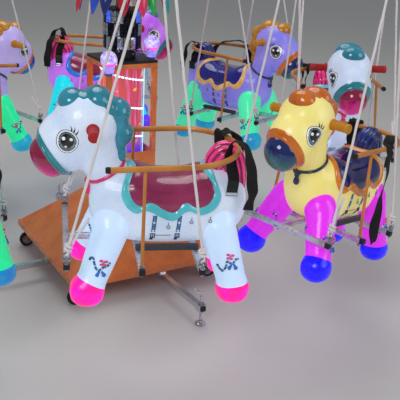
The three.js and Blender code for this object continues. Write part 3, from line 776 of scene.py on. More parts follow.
# Each cut has its middle, and the way that points down the leg into the hoof.
HOOF_CUTS = [(Vector((146, 160, -72)), Vector((0.46, 0.22, -0.87))),
             (Vector((-366, 110, -115)), Vector((-0.12, 0.08, -0.99)))]
CUT_REACH, HOOF_REACH = 110, 130
for centre, down in HOOF_CUTS:
    for side in (-1, 1):
        middle = Vector((centre.x, side * centre.y, centre.z))
        away = Vector((down.x, side * down.y, down.z))
        near = [f for f in legs.faces if (f.calc_center_median() - middle).length < CUT_REACH]
        geom = list({v for f in near for v in f.verts}) + list({e for f in near for e in f.edges}) + near
        bmesh.ops.bisect_plane(legs, geom=geom, plane_co=middle, plane_no=away)
        for face in legs.faces:
            offset = face.calc_center_median() - middle
            if offset.length < HOOF_REACH and offset.dot(away) > 0:
                face.material_index = 1
print("leg faces", len(legs.faces))
legs_mesh = template(legs, 60)

# %% [markdown]
# ## Eyes and grips
# The eyes are printed. Here each is a stack of thin discs that are cast onto the cheek, so they
# follow its curve: a dark rim, the white, a grey-teal iris, the pupil and its highlights.

# %% Eyes
EYE_X, EYE_Z = 221, 402
EYE_DOME = 1.4
EYE_SIDES = 30
# Each print: how far forward and up it sits, its two half sizes, its lift and its finish.
EYE_PRINTS = [
    (0, 0, 36, 39.5, 0.3, 0), (0, 0, 34, 37.5, 0.8, 1), (0, 0, 29.5, 33, 1.3, 0),
    (0, 0, 27, 30.5, 1.8, 2), (0, 3, 21.0, 23.5, 3.0, 0), (12, 10, 5.8, 5.8, 4.8, 1),
    (-12, 9, 5.4, 5.4, 4.8, 1), (5, -16, 4.2, 2.8, 4.2, 1)]
LASHES = [((-13, 38), (-13, 46), (-9, 54)), ((-20, 35), (-23, 43), (-23, 52)),
          ((-27, 29), (-32, 35), (-35, 43))]


def disc(x, z, side, radius_x, radius_z, lift):
    """A thin round print on the side of the head, a little domed."""
    rings = []
    for share, up in ((1.0, -1.5), (1.0, 0.0), (0.8, 0.5), (0.4, 0.85), (0.02, 1.0)):
        rings.append([on_cheek(x + radius_x * share * math.cos(a), z + radius_z * share * math.sin(a),
                               side, lift + (EYE_DOME * up if up > 0 else up))
                      for a in (TURN * k / EYE_SIDES for k in range(EYE_SIDES))])
    return skin(rings)


eye_parts = []
for side in (-1, 1):
    for dx, dz, rx, rz, lift, number in EYE_PRINTS:
        eye_parts.append((disc(EYE_X + dx, EYE_Z + dz, side, rx, rz, lift), number))
    for lash in LASHES:
        line = curve_through([(dx, dz, 0) for dx, dz in lash], 8)
        hair = [on_cheek(EYE_X + p[0], EYE_Z + p[1], side, 0.8) for p in line]
        eye_parts.append((tube(hair, lambda t: 2.6 * (1 - t) + 0.4, 6), 0))
eye_mesh = template(gather(eye_parts), 50)
print("eyes faces", len(eye_mesh.polygons))

# %% Hand grips
GRIP_X, GRIP_Y, GRIP_Z = 141, 96, 447
RIB_PITCH = 6.6
GRIP_PROFILE = [(0, 86), (14, 86), (18, 84), (19, 80), (18.5, 76), (16, 73)]
for rib in range(8):
    at = 71 - rib * RIB_PITCH
    GRIP_PROFILE += [(17.2, at), (17.2, at - 3.2), (15.2, at - 4.2), (15.2, at - 5.6)]
GRIP_PROFILE += [(16, 17), (21, 15), (21.5, 9), (18, 6), (16, 0), (0, 0)]
grip_parts = []
for side in (-1, 1):
    grip_parts.append((turned(GRIP_PROFILE, (GRIP_X, side * GRIP_Y, GRIP_Z), (0, side, 0), 28), 0))
grip_mesh = template(gather(grip_parts), 35)
print("grips faces", len(grip_mesh.polygons))

# %% [markdown]
# ## Saddle
# The saddle is a padded shape with a scalloped, rolled border. Its outline is a line of places on
# the barrel, given by the distance along the body and the angle down from the spine.
# A fan of points from the middle to this outline is cast onto the shell and lifted to a profile.

# %% Saddle with its border
# Angles are turned into millimetres with the radius of the barrel, so the outline is a flat pattern.
ARC = 135.0
SADDLE_MIDDLE = -125.0
SADDLE_EDGE = [(20, 0), (24, 22), (42, 52), (38, 67), (19, 82), (-7, 88.5), (-33, 84), (-59, 86), (-90, 94),
               (-125, 100), (-148, 97.5), (-168, 88), (-190, 84.5), (-216, 90), (-236, 91.5), (-271, 85),
               (-292, 72), (-297, 58), (-281, 37), (-273, 11), (-272, 0)]
outline = curve_through([(x - SADDLE_MIDDLE, math.radians(a) * ARC, 0) for x, a in SADDLE_EDGE], 81)
outline = outline + [Vector((p.x, -p.y, 0)) for p in reversed(outline[1:-1])]
BORDER = 33.0
ROLL_PROFILE = [(0.0, -3.0), (0.5, 2.5), (3, 6.0), (8, 9.0), (14, 10.0), (21, 9.0), (27, 6.5), (31, 4.0),
                (BORDER, 3.0)]


def on_saddle(flat, lift):
    return on_barrel(SADDLE_MIDDLE + flat.x, flat.y / ARC, lift)


border_rings = []
for inward, lift in ROLL_PROFILE:
    border_rings.append([on_saddle(p * (1 - inward / p.length), lift) for p in outline])
border_mesh = template(skin(border_rings, capped=False), 50)
seat_rings = []
for share in (1.0, 0.97, 0.9, 0.78, 0.64, 0.5, 0.36, 0.22, 0.1, 0.02):
    puff = 3.0 + 7.0 * (1 - share ** 4)
    seat_rings.append([on_saddle(p * (1 - BORDER / p.length) * share, puff) for p in outline])
seat_mesh = template(skin(seat_rings), 50)
print("saddle seat faces", len(seat_mesh.polygons))
print("saddle border points", len(outline))

# %% [markdown]
# ## Girth straps, rings and anklets
# Two beaded straps are painted down each side, each with a small buckle, and small rings hang under
# the border. Above each hoof runs a chain of beads with two small bells and a pink bow.

# %% Straps and rings
STRAP_TOP, STRAP_LOW = 1.60, 2.08
STRAP_LEAN, LEAN_SPAN = 6.0, 0.78
STRAP_X = (-72, -157)
BEADS, BEAD_SPAN = 6, 0.48
BEAD_FINISHES = (1, 2, 5)
BUCKLE_ANGLE = 2.19
BUCKLE_BARS = [((0, 0, 7), (17, 3, 3.5)), ((0, 0, -7), (17, 3, 3.5)), ((7, 0, 0), (3.5, 3, 15)),
               ((-7, 0, 0), (3.5, 3, 15)), ((0, 0, 0), (2.5, 3.5, 15))]
HANGING_RINGS = [(-119, 1.80), (-198, 1.66), (-264, 1.66)]


def lean_at(angle):
    """How far a strap has come forward at an angle down from the spine."""
    return STRAP_LEAN * (abs(angle) - STRAP_TOP) / LEAN_SPAN


def strap(x, angles, half_width, lift, count=12):
    """A thin band down the barrel between two angles, which leans forward on its way down."""
    rings = []
    for i in range(count):
        angle = angles[0] + (angles[1] - angles[0]) * i / (count - 1)
        rings.append([on_barrel(x + lean_at(angle) + dx, angle, up) for dx, up in (
            (-half_width, -1.0), (-half_width, lift), (half_width, lift), (half_width, -1.0))])
    return skin(rings)


trim_parts = []
for side in (-1, 1):
    for x in STRAP_X:
        trim_parts.append((strap(x, (side * STRAP_TOP, side * STRAP_LOW), 7.0, 1.2), 0))
        for bead in range(BEADS):
            angle = side * (STRAP_TOP + BEAD_SPAN * ((bead + 0.5) / BEADS))
            centre = on_barrel(x + lean_at(angle), angle, 1.2)
            trim_parts.append((ball(centre, (5.2, 2.4, 5.2), 2.0, 8, 4), BEAD_FINISHES[bead % 3]))
        low = on_barrel(x + STRAP_LEAN * 0.75, side * BUCKLE_ANGLE, 2.0)
        for offset, size in BUCKLE_BARS:
            trim_parts.append((box(low + Vector(offset), size), 0))
        trim_parts.append((strap(x + STRAP_LEAN * 0.28, (side * 2.26, side * 2.38), 5.5, 1.2, 4), 0))
    wire = [on_barrel(x, side * BUCKLE_ANGLE, 0.5) for x in range(-130, -70, 6)]
    trim_parts.append((tube(wire, 1.6, 6), 4))
    for x, angle in HANGING_RINGS:
        top = on_barrel(x, side * angle, 1.5)
        hoop = ring_path(top - Vector((0, 0, 17)), 5.5, (0, side, 0), 16)
        trim_parts.append((tube([top, top - Vector((0, 0, 11))], 1.3, 6), 4))
        trim_parts.append((tube(hoop, 1.5, 6, loop=True), 4))

# %% Anklets
def on_leg(x, z, reach, side, lift):
    """The point of the leg nearest to a place on its outer or inner side."""
    hit, normal, _, _ = legs_tree.find_nearest(Vector((x, side * reach, z)))
    return hit + normal * lift


# Places are given along and up the body. The chain runs round the outer and the inner side of a leg.
ANKLETS = [
    {"outer": 190, "inner": 70, "bell": (112, -27), "bow": (100, 10),
     "chain": [(166, 30), (158, 35), (146, 33), (136, 14), (128, -6), (118, -17), (104, -8), (84, -4),
               (72, 2)]},
    {"outer": 165, "inner": 52, "bell": (-352, -28), "bow": (-341, 10),
     "chain": [(-281, -34), (-291, -43), (-307, -50), (-321, -38), (-329, -12), (-340, -14),
               (-352, -18), (-368, -3), (-384, -1)]},
]
CHAIN_FINISHES = (0, 1, 2, 5)
BELL_PROFILE = [(0, 10), (3.5, 8), (5, 1), (8, -8), (8, -10), (0, -10)]
BOW_LOOPS = [(-8, 4), (8, 7), (-4, -9), (7, -7)]
for anklet in ANKLETS:
    for side in (-1, 1):
        line = curve_through([(x, 0, z) for x, z in anklet["chain"]], 33)
        for reach, points in ((anklet["outer"], line), (anklet["inner"], line[2:-2:2])):
            for bead, at in enumerate(points):
                spot = on_leg(at.x, at.z, reach, side, 1.0)
                trim_parts.append((ball(spot, (4.9, 3.6, 4.9), 2.0, 7, 4), CHAIN_FINISHES[bead % 4]))
        drop = on_leg(*anklet["bell"], anklet["outer"], side, 1.5)
        for dx, tilt in ((-8, 0.5), (8, -0.5)):
            bell = turned(BELL_PROFILE, drop + Vector((dx, 0, 0)), (tilt, side * 0.25, 1), 10)
            clapper = ball(drop + Vector((dx * 1.6, 0, -12)), (3, 3, 3), 2.0, 8, 5)
            trim_parts += [(bell, 2), (clapper, 0)]
        bow = on_leg(*anklet["bow"], anklet["outer"], side, 3.0)
        for dx, dz in BOW_LOOPS:
            trim_parts.append((ball(bow + Vector((dx, 0, dz)), (7.5, 3, 5), 2.0, 10, 6), 3))
        trim_parts.append((ball(bow, (4, 4, 4), 2.0, 10, 6), 3))
trim_mesh = template(gather(trim_parts), 40)
print("trimmings faces", len(trim_mesh.polygons))
TRIM_FINISHES = [
    lacquered("bead_enamel_navy", "#16357A", "#0E2458", 0.05, 0.2),
    lacquered("bead_enamel_teal", "#1F9AB0", "#187E9A", 0.1, 0.2),
    lacquered("bead_enamel_sky", "#3E86D8", "#2C6CC0", 0.1, 0.2),
    lacquered("bow_enamel_pink", "#E8558E", "#D03C78", 0.15, 0.25),
    plain("wire_zinc", "#9C9890", 0.35, 0.7, 3.0, 0.05),
    lacquered("bead_enamel_pearl", "#D8E6F0", "#B8CCE0", 0.1, 0.2),
]

# %% [markdown]
# ## Hanging frame
# The two rails under the belly get a dark grey steel finish, which is painted shade.
# Square galvanised tubes carry the shell: three cross tubes, two rails and a central spine, with
# black plastic plugs in the ends. A round guard rail in orange enamel stands on two rods.
# Rounded edges matter here, because they catch the light along each tube.

# %% Steel tubes of a frame
CROSS = [(224, 29), (-23, 0), (-225, 0)]
SQUARE_TUBE = 20
EYE_Y = 243
frame_parts, cap_parts, steel_parts = [], [], []
for x, z in CROSS:
    frame_parts.append((bar((x, -232, z), (x, 232, z), SQUARE_TUBE), 0))
    for side in (-1, 1):
        cap_parts.append((box((x, side * 240, z), (21.5, SQUARE_TUBE, 21.5), 2.5), 0))
for side in (-1, 1):
    # The rails take the second finish, a dark steel grey that is painted shade under the belly.
    frame_parts.append((bar((-235, side * 95, 20), (-13, side * 95, 20), SQUARE_TUBE), 1))
frame_parts.append((bar((-33, 0, 20), (234, 0, 20), SQUARE_TUBE), 0))

# %% Eye bolts with their shackles
SHACKLE_RADIUS, SHACKLE_RISE, PIN_RISE = 12, 38, 26


def eye_bolt(x, y, z):
    """A bolt through the end of a cross tube, its washer and nuts, its eye and a bow shackle."""
    pin_z = z + PIN_RISE
    angles = [math.pi * (k - 3) / 10 for k in range(17)]
    bow = [(x + SHACKLE_RADIUS * math.cos(a), y, z + SHACKLE_RISE + SHACKLE_RADIUS * math.sin(a))
           for a in angles]
    parts = [
        cone((x, y, z - 18), (x, y, z + 20), 3, 3, 12),
        turned([(3, 0), (9, 0), (9, 2), (3, 2)], (x, y, z + 10)),
        cone((x, y, z + 12), (x, y, z + 17), 6.5, 6.5, 6),
        cone((x, y, z - 17), (x, y, z - 10), 6.5, 6.5, 6),
        tube(ring_path((x, y, z + 24), 8, (1, 0, 0), 20), 3, 8, loop=True),
        tube(bow, 2.8, 8),
        cone((x - 13, y, pin_z), (x + 13, y, pin_z), 2.8, 2.8, 10),
    ]
    # The pin lies along the tube's thickness and has a round head on each end.
    for end in (-1, 1):
        parts.append(cone((x + end * 11, y, pin_z), (x + end * 15, y, pin_z), 5, 5, 10))
    return [(part, 0) for part in parts]


for x, z in (CROSS[0], CROSS[2]):
    for side in (-1, 1):
        steel_parts += eye_bolt(x, side * EYE_Y, z)

# %% Guard rail
GUARD_Y, TIP_Z, BEND_X, TIP_X = 198, 346, -166, 96
GUARD_RADIUS = 10
GUARD_TILT = math.radians(2.3)
ROD_X, ROD_Y, ROD_RADIUS = -23, 226, 6


def on_guard(x, y):
    """A point of the guard rail, which rises to the rear from its two tips."""
    back = x - TIP_X
    return Vector((TIP_X + back * math.cos(GUARD_TILT), y, TIP_Z - back * math.sin(GUARD_TILT)))


half_guard = [on_guard(x, GUARD_Y) for x in (TIP_X, 30, -40, -110)]
bend = [on_guard(BEND_X - GUARD_Y * math.sin(a), GUARD_Y * math.cos(a))
        for a in (math.pi * k / 30 for k in range(31))]
guard_path = half_guard + bend + [Vector((p.x, -p.y, p.z)) for p in reversed(half_guard)]
guard_parts = [(tube(guard_path, GUARD_RADIUS, 16), 0)]
for side in (-1, 1):
    cap_parts.append((turned([(0, 8), (8, 8), (11, 5), (11, -8), (0, -8)],
                             (TIP_X, side * GUARD_Y, TIP_Z), (1, 0, 0), 20), 0))
    top = on_guard(ROD_X, side * GUARD_Y)
    guard_parts.append((cone((ROD_X, side * ROD_Y, -22), top, ROD_RADIUS, ROD_RADIUS, 16), 0))
    guard_parts.append((ball(top, (12, 10, 11), 2.0, 16, 10), 0))
    steel_parts.append((cone((ROD_X, side * ROD_Y, 10), (ROD_X, side * 225.6, 17), 10, 10, 6), 0))
    steel_parts.append((cone((ROD_X, side * 228, -20), (ROD_X, side * 228, -9), 9, 9, 6), 0))
frame_mesh = template(gather(frame_parts))
cap_mesh = template(gather(cap_parts))
steel_mesh = template(gather(steel_parts))
guard_mesh = template(gather(guard_parts))
print("guard rail faces", len(guard_mesh.polygons))

# %% Metal and rubber
CRYSTAL_MM = 8.0


def galvanised_steel(name):
    """Zinc-coated tube. Its crystals are 6 to 10 mm flecks of slightly different grey."""
    material, shader = begin(name, {"Metallic": 0.7, "Roughness": 0.32})
    where = add(material, "TexCoord").outputs["Object"]
    cells = add(material, "TexVoronoi", {"Vector": where, "Scale": 1000 / CRYSTAL_MM})
    fleck = add(material, "MapRange", {
        "Value": cells.outputs["Distance"], "From Max": 0.9, "To Min": 0.0, "To Max": 0.7})
    zinc = add(material, "Mix", {FACTOR: fleck.outputs["Result"], COLOUR_A: srgb("#E2E6EE"),
                                 COLOUR_B: srgb("#B0B4C0")}, data_type="RGBA")
    stains = speckle(material, where, 60, -0.5, 0.6)
    stained = add(material, "Mix", {FACTOR: stains, COLOUR_A: zinc.outputs[MIXED],
                                    COLOUR_B: srgb("#958F8A")}, data_type="RGBA")
    feed(material, shader, {
        "Base Color": stained.outputs[MIXED], "Roughness": speckle(material, where, 20, 0.22, 0.42)})
    return material


def enamel(name, colour, shade, worn):
    """Brushed-on orange enamel over steel, with rubbed darker places and some bare flecks."""
    material, shader = begin(name, {"Coat Weight": 0.3, "Coat Roughness": 0.15})
    where = add(material, "TexCoord").outputs["Object"]
    rubbed = add(material, "Mix", {FACTOR: speckle(material, where, 90, 0.0, 1.0),
                                   COLOUR_A: srgb(colour), COLOUR_B: srgb(shade)}, data_type="RGBA")
    chip = add(material, "MapRange", {
        "Value": speckle(material, where, 16, 0.0, 1.0, 5.0, 0.7), "From Min": 0.93, "From Max": 1.0})
    paint = add(material, "Mix", {FACTOR: chip.outputs["Result"], COLOUR_A: rubbed.outputs[MIXED],
                                  COLOUR_B: srgb(worn)}, data_type="RGBA")
    bump = add(material, "Bump", {"Height": speckle(material, where, 5, 0.0, 1.0),
                                  "Strength": 1.0, "Distance": 0.12 * MILLIMETRE})
    feed(material, shader, {
        "Base Color": paint.outputs[MIXED], "Roughness": speckle(material, where, 30, 0.26, 0.48),
        "Normal": bump.outputs["Normal"]})
    return material


GALVANISED = galvanised_steel("galvanised_steel")
# The rails are galvanised like the other tubes. Their dark grey is painted shade from the belly above them.
SHADED_RAIL_STEEL = plain("rail_steel_painted_shade", "#55575E", 0.42, 0.7, 8.0, 0.1)
GUARD_ENAMEL = enamel("guard_enamel_amber", "#E0923A", "#C07628", "#6A4A30")
BASE_ENAMEL = enamel("base_enamel_orange", "#F08846", "#D4702E", "#7A5440")
BLACK_PLASTIC = plain("end_cap_polyethylene_black", "#141518", 0.42, 0.0, 3.0, 0.1)
ZINC = plain("bolt_zinc_plate", "#A9ADB4", 0.3, 0.9, 3.0, 0.08)
CHROME = plain("chrome_plate", "#D9DCE2", 0.14, 1.0, 30.0, 0.05, 0.92)
ROPE = plain("rope_polyester_white", "#F6F2F4", 0.8, 0.0, 2.0, 0.2, 0.86)

# %% [markdown]
# ## Safety belts
# A belt of soft black webbing hangs over the guard rail on both sides of each pony. It is slung
# beside the tail, but on the orange-maned ponies the outer one crosses the rail at the rider's side.
# One end carries the plastic buckle, the other hangs loose. The strap is skinned along a line of
# places, each with the way its width points there, so that it can twist as real webbing does.

# %% Where the belts run
BELT_WIDTH, BELT_THICK = 41.0, 2.4
WEBBING = plain("webbing_nylon_black", "#0D0D10", 0.8, 0.0, 2.2, 0.35, 0.45)
# Each stop is a place and the way across the strap there, for the belt on the outer side.
BUCKLE_END = [
    ((-338, 102, 266), (1, 0.1, 0.05)), ((-333, 101, 302), (1, 0.2, 0.05))]
OVER_RAIL = [
    ((-323, 96, 338), (0.95, 0.4, 0)), ((-315, 93, 366), (0.75, 0.65, 0)),
    ((-318, 92, 396), (0.6, 0.8, 0)), ((-338, 94, 411), (0.5, 0.85, 0.1)),
    ((-364, 98, 396), (0.5, 0.85, 0)), ((-386, 104, 352), (0.8, 0.6, 0))]
LOOSE_END = [
    ((-396, 108, 300), (0.95, 0.3, 0)), ((-404, 112, 252), (0.95, 0.2, 0)),
    ((-405, 112, 210), (0.8, 0.6, 0)), ((-396, 108, 166), (0.95, 0.2, 0))]
SIDE_RAIL = [
    ((-318, 112, 345), (0.9, -0.35, 0)), ((-280, 132, 374), (0.6, -0.8, 0)),
    ((-225, 158, 390), (0.5, -0.85, 0)), ((-172, 180, 386), (0.6, -0.75, 0)),
    ((-146, 190, 370), (0.85, -0.5, 0)), ((-138, 198, 368.8), (1, -0.2, 0)),
    ((-135, 207, 365), (1, 0, 0)), ((-133, 211, 356), (1, 0, 0)), ((-134, 214, 330), (1, 0, 0))]
LONG_END = [
    ((-138, 217, 280), (0.97, 0.25, 0)), ((-134, 219, 200), (0.9, 0.45, 0)),
    ((-132, 217, 110), (0.95, -0.2, 0)), ((-142, 214, 30), (0.8, -0.6, 0)),
    ((-152, 215, -40), (0.95, 0.1, 0))]
# The inner strap lies closer on the rail, and its loose end is one stop shorter.
INNER_SHIFT, INNER_TOP = 8, 385
REAR_BELT = BUCKLE_END + OVER_RAIL + LOOSE_END
INNER_BELT = [((x, y - INNER_SHIFT, min(z, INNER_TOP)), way) for (x, y, z), way in REAR_BELT[:-1]]
SIDE_BELT = BUCKLE_END + SIDE_RAIL + LONG_END

# %% Webbing
CURL = 3.0


def webbing(stops, side):
    """A belt strap through a few stops, and the length of webbing that it takes."""
    count = 10 * len(stops)
    line = [Vector((p.x, side * p.y, p.z)) for p in curve_through([at for at, _ in stops], count)]
    ways = [Vector((p.x, side * p.y, p.z)) for p in curve_through([way for _, way in stops], count)]
    half = BELT_WIDTH / 2
    rings = []
    for i, (point, way) in enumerate(zip(line, ways)):
        tangent = (line[min(i + 1, count - 1)] - line[max(i - 1, 0)]).normalized()
        across = (way - tangent * way.dot(tangent)).normalized()
        up = tangent.cross(across)
        # The edges curl a little, as worn webbing does.
        curl = CURL * math.sin(0.35 * i)
        upper = [point + across * (half * u) + up * (curl * u * u + BELT_THICK / 2)
                 for u in (-1, -0.5, 0, 0.5, 1)]
        lower = [p - up * BELT_THICK for p in reversed(upper)]
        rings.append(upper + lower)
    return skin(rings), sum((b - a).length for a, b in zip(line, line[1:]))


belts = {}
for kind, outer_belt in (("teal", REAR_BELT), ("orange", SIDE_BELT)):
    for side, stops in ((1, outer_belt), (-1, INNER_BELT)):
        strap_mesh, strap_length = webbing(stops, side)
        belts[kind, side] = (template(strap_mesh, 50), strap_length / 1000)
        print(kind, "belt", side, round(strap_length), "mm")

# %% Buckles
# The plate, the lips of its two slots and the steel loop at its end: size, middle and finish.
BUCKLE_BOXES = [
    ((40, 7, 46), (0, 0, -22), 0), ((30, 9, 8), (0, 0, -8), 0), ((22, 9.5, 12), (0, 0, -26), 0),
    ((44, 5, 4), (0, 0, -47), 1), ((4, 5, 12), (-20, 0, -53), 1), ((4, 5, 12), (20, 0, -53), 1),
    ((44, 5, 4), (0, 0, -58), 1)]
BUCKLE_X, BUCKLE_Y, BUCKLE_Z = -338, 103, 276


def turn_about(axis, degrees):
    return Matrix.Rotation(math.radians(degrees), 4, axis)


def buckle(side):
    """The black plate with its slots, and the steel loop at its end."""
    whole = gather([(box(centre, size, 1.4), number) for size, centre, number in BUCKLE_BOXES])
    hung_at = Matrix.Translation((BUCKLE_X, side * BUCKLE_Y, BUCKLE_Z))
    tilt = turn_about("Z", side * 4) @ turn_about("Y", -4)
    bmesh.ops.transform(whole, matrix=hung_at @ tilt, verts=whole.verts)
    return whole


buckle_meshes = {side: template(buckle(side)) for side in (1, -1)}

# %% [markdown]
# ## Ropes
# Each pony hangs on four laid ropes of 10 mm. A section with three lobes turns as it is swept, so
# the lay is real relief. The end passes through a shackle, winds round itself and leaves a tail.

# %% Rope making
ROPE_LAY, ROPE_RADIUS = 42.0, 5.0
HANGER = Vector((-78, 0, 1153))
HOOK_Y = 215
SHACKLE_TOP = 46
COIL_STEPS, COIL_ROUND, COIL_RISE, COIL_RADIUS = 34, 15, 0.8, 9.5


def lay(angle, travelled):
    """Three lobes that turn as the rope runs on."""
    return 0.94 + 0.13 * math.cos(3 * (angle - TURN * travelled / ROPE_LAY))


def hung_rope(eye, hook, tail_way):
    """One rope from the hanger bar down to an eye bolt, with its knot and loose tail."""
    eye, hook = Vector(eye), Vector(hook)
    up = (hook - eye).normalized()
    side = up.cross(Vector((1, 0, 0))).normalized()
    front = up.cross(side)
    main = [hook.lerp(eye + up * 10, i / 72) for i in range(73)]
    loop = [eye + up * 3 + front * 4, eye - up * 5, eye + up * 1 - side * 9, eye + up * 8 - side * 9.5]
    coil = []
    for i in range(COIL_STEPS):
        angle = TURN * i / COIL_ROUND
        coil.append(eye + up * (10 + COIL_RISE * i) - side * (COIL_RADIUS * math.cos(angle))
                    + front * (COIL_RADIUS * math.sin(angle)))
    last = coil[-1]
    tail = [last + tail_way * 0.3 + up * 4, last + tail_way * 0.7, last + tail_way]
    path = main + curve_through([main[-1], *loop, coil[0]], 18)[1:]
    path += coil[1:] + curve_through([last, *tail], 12)[1:]
    return tube(path, ROPE_RADIUS, 9, shape=lay)


# %% Ropes of one pony
WRAPS, WRAP_PITCH, WRAP_RADIUS = 4, 9, 14.5
# Which way the loose tails point at the front and the rear eyes, on the outer and the inner side.
FRONT_TAILS = {1: Vector((-54, 4, 92)), -1: Vector((-24, 26, 66))}
REAR_TAILS = {1: Vector((8, 4, -26)), -1: Vector((8, -4, -26))}


def four_ropes(hung):
    """The ropes from where the frame really hangs up to the bar, and their turns round the bar."""
    parts = []
    for (x, z), tails in ((CROSS[0], FRONT_TAILS), (CROSS[2], REAR_TAILS)):
        for side in (-1, 1):
            eye = hung @ Vector((x, side * EYE_Y, z + SHACKLE_TOP))
            parts.append((hung_rope(eye, (HANGER.x, side * HOOK_Y, HANGER.z), tails[side]), 0))
    for side in (-1, 1):
        for wrap in range(WRAPS):
            centre = (HANGER.x, side * (HOOK_Y - 12 + wrap * WRAP_PITCH), HANGER.z)
            parts.append((tube(ring_path(centre, WRAP_RADIUS, (0.06, 1, 0), 18), 5, 7, loop=True), 0))
    return gather(parts)


# %% Hanger bar
BAR_PROFILE = [(0, -230), (8, -230), (10, -228), (10, 228), (8, 230), (0, 230)]
BEARING_PROFILE = [(5.8, -7), (14, -7), (14, 7), (5.8, 7), (5.8, -7)]
hanger_mesh = template(gather([
    (turned(BAR_PROFILE, HANGER, (0, 1, 0), 24), 0),
    (box((HANGER.x, 0, HANGER.z + 12), (14, 28, 26), 2.0), 0),
    (turned(BEARING_PROFILE, (HANGER.x, 0, HANGER.z + 24), (1, 0, 0), 28), 0),
]))
print("hanger bar faces", len(hanger_mesh.polygons))


# %% [markdown]
# ## Putting the ponies in the ring
# All eight ponies share the same templates. A few hang a little lower or turned, as their ropes have
# settled, so each has a small matrix of its own before it goes to its place in the ring.

# %% Places in the ring
RING_RADIUS = 1065
RING_STEP = 45
FRAME_Z = 575
FIRST_ANGLE = -112.5
# How each pony hangs: forward, outward and up in millimetres, then yaw, pitch and roll in degrees.
HANG = [(4, 24, 24, 2.8, -1.1, -2.5), (44, 30, -32, -6.4, -5.9, -1.6), (0, 0, 12, -3, -2.5, 0),
        (0, 9, 2, 1.5, -0.6, -1.5), (0, 0, 0, 0, 0, -3), (-4, 11, -62, -4.5, 3, 0),
        (0, 0, 0, 0, 0, 0), (50, 30, -30, -3, 0, 0)]


def arm_turn(index):
    """The turn from the machine's own axes to the arm of one pony."""
    return turn_about("Z", FIRST_ANGLE + RING_STEP * index - 90)


def hang_matrix(forward, outward, rise, yaw, pitch, roll):
    """How far a pony has settled from its level place."""
    return (Matrix.Translation((forward, outward, rise)) @ turn_about("Z", yaw)
            @ turn_about("Y", pitch) @ turn_about("X", roll))


# %% Ring of ponies
for index, look in enumerate(PONIES):
    ring_place = arm_turn(index) @ Matrix.Translation((0, RING_RADIUS, FRAME_Z))
    hung = hang_matrix(*HANG[index])
    # The templates are in millimetres, so the place is too, and is scaled once at the end.
    place = TO_METRES @ ring_place @ hung @ TO_METRES.inverted()
    rope_place = TO_METRES @ ring_place @ TO_METRES.inverted()
    body = f"swing_{index + 1}"
    name = f"pony_{index + 1}"
    trims = dict(TRIMS[look["set"]])
    for part, finish in look.get("own", {}).items():
        trims[part] = OWN[finish]
    shell = moulded(f"{name}_polyethylene_body", look["body"], look["cloud"], 0.28)
    leg = moulded(f"{name}_polyethylene_leg", look["leg"], look["leg"], 0.42)
    hoof = moulded(f"{name}_polyethylene_hoof", look["hoof"], look["tip"], 0.70, patch_mm=60)
    show(f"{name}_trunk", trunk_mesh, [shell], body, place, [name])
    show(f"{name}_legs", legs_mesh, [leg, hoof], body, place)
    show(f"{name}_mane", mane_mesh, [trims["mane"]], body, place)
    show(f"{name}_muzzle", muzzle_mesh, [trims["muzzle"], BLACK_GLOSS], body, place)
    show(f"{name}_bridle_band", band_mesh, [trims["band"]], body, place)
    show(f"{name}_collar", collar_mesh, [trims["collar"]], body, place)
    show(f"{name}_tail", tail_mesh, [trims["tail"]], body, place)
    show(f"{name}_eyes", eye_mesh, [BLACK_GLOSS, WHITE_GLOSS, IRIS], body, place)
    show(f"{name}_grips", grip_mesh, [trims["grip"]], body, place)
    show(f"{name}_saddle_border", border_mesh, [trims["border"]], body, place)
    show(f"{name}_saddle_seat", seat_mesh, [trims["seat"]], body, place)
    show(f"{name}_trimmings", trim_mesh, TRIM_FINISHES, body, place)
    show(f"{name}_frame_tubes", frame_mesh, [GALVANISED, SHADED_RAIL_STEEL], body, place,
         [f"{name}_frame"])
    show(f"{name}_frame_caps", cap_mesh, [BLACK_PLASTIC], body, place)
    show(f"{name}_frame_bolts", steel_mesh, [ZINC], body, place)
    show(f"{name}_guard_rail", guard_mesh, [GUARD_ENAMEL], body, place)
    for side, side_name in ((1, "outer"), (-1, "inner")):
        strap_mesh, strap_length = belts[look["set"], side]
        belt = show(f"{name}_belt_{side_name}", strap_mesh, [WEBBING], body, place)
        clip = show(f"{name}_buckle_{side_name}", buckle_meshes[side], [BLACK_PLASTIC, CHROME], body, place)
    # The bar stays level, so it and the ropes leave out the settling of the pony.
    show(f"{name}_hung_ropes", template(four_ropes(hung), 60), [ROPE], body, rope_place,
         [f"{name}_ropes"])
    show(f"{name}_hanger_bar", hanger_mesh, [ZINC], body, rope_place)
print("ponies made:", len(PONIES))

# %% [markdown]
# ## Finishes of the base, column and head
# The CAD solids of the deck, cover, column and arms already have the right shape, so they stay and
# only get their finish. The enamel has rubbed darker places and a few bare flecks, as a machine does that is
# wheeled about.

# %% Finishes on CAD nodes
def dress(node, material):
    """Give a CAD node its finish. Its mesh stays as it is."""
    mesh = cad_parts[node].data
    mesh.materials.clear()
    mesh.materials.append(material)


SIDE_NAMES = ("front", "right", "back", "left")
RUBBER = plain("wheel_rubber_black", "#18191B", 0.75, 0.0, 3.0, 0.2)
for node in ("base_deck", "base_cover", "column_frame", "turning_head", "inner_mast"):
    dress(node, BASE_ENAMEL)
dress("top_tray", BLACK_PLASTIC)
for side_name in SIDE_NAMES:
    dress(f"outrigger_{side_name}", CHROME)
for corner in range(1, 5):
    dress(f"caster_fork_{corner}", BASE_ENAMEL)
# A narrow bevel stands for the rolled edge of the sheet and catches a line of light.
for node in ("base_deck", "base_cover", "column_frame", "turning_head", "top_tray"):
    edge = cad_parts[node].modifiers.new("rolled_edge", "BEVEL")
    edge.width = 0.0018
    edge.segments = 2
    edge.limit_method = "ANGLE"
    edge.angle_limit = math.radians(40)

# %% [markdown]
# ## Light tube and its lamp tape
# A clear acrylic tube stands in the column with coloured lights behind it. Its finish runs in upright
# streaks, because the light strips inside are upright, and it turns blue near its foot.
# A tape of small white lamps winds round the tube like a thread, so it shows as slanting dashes.

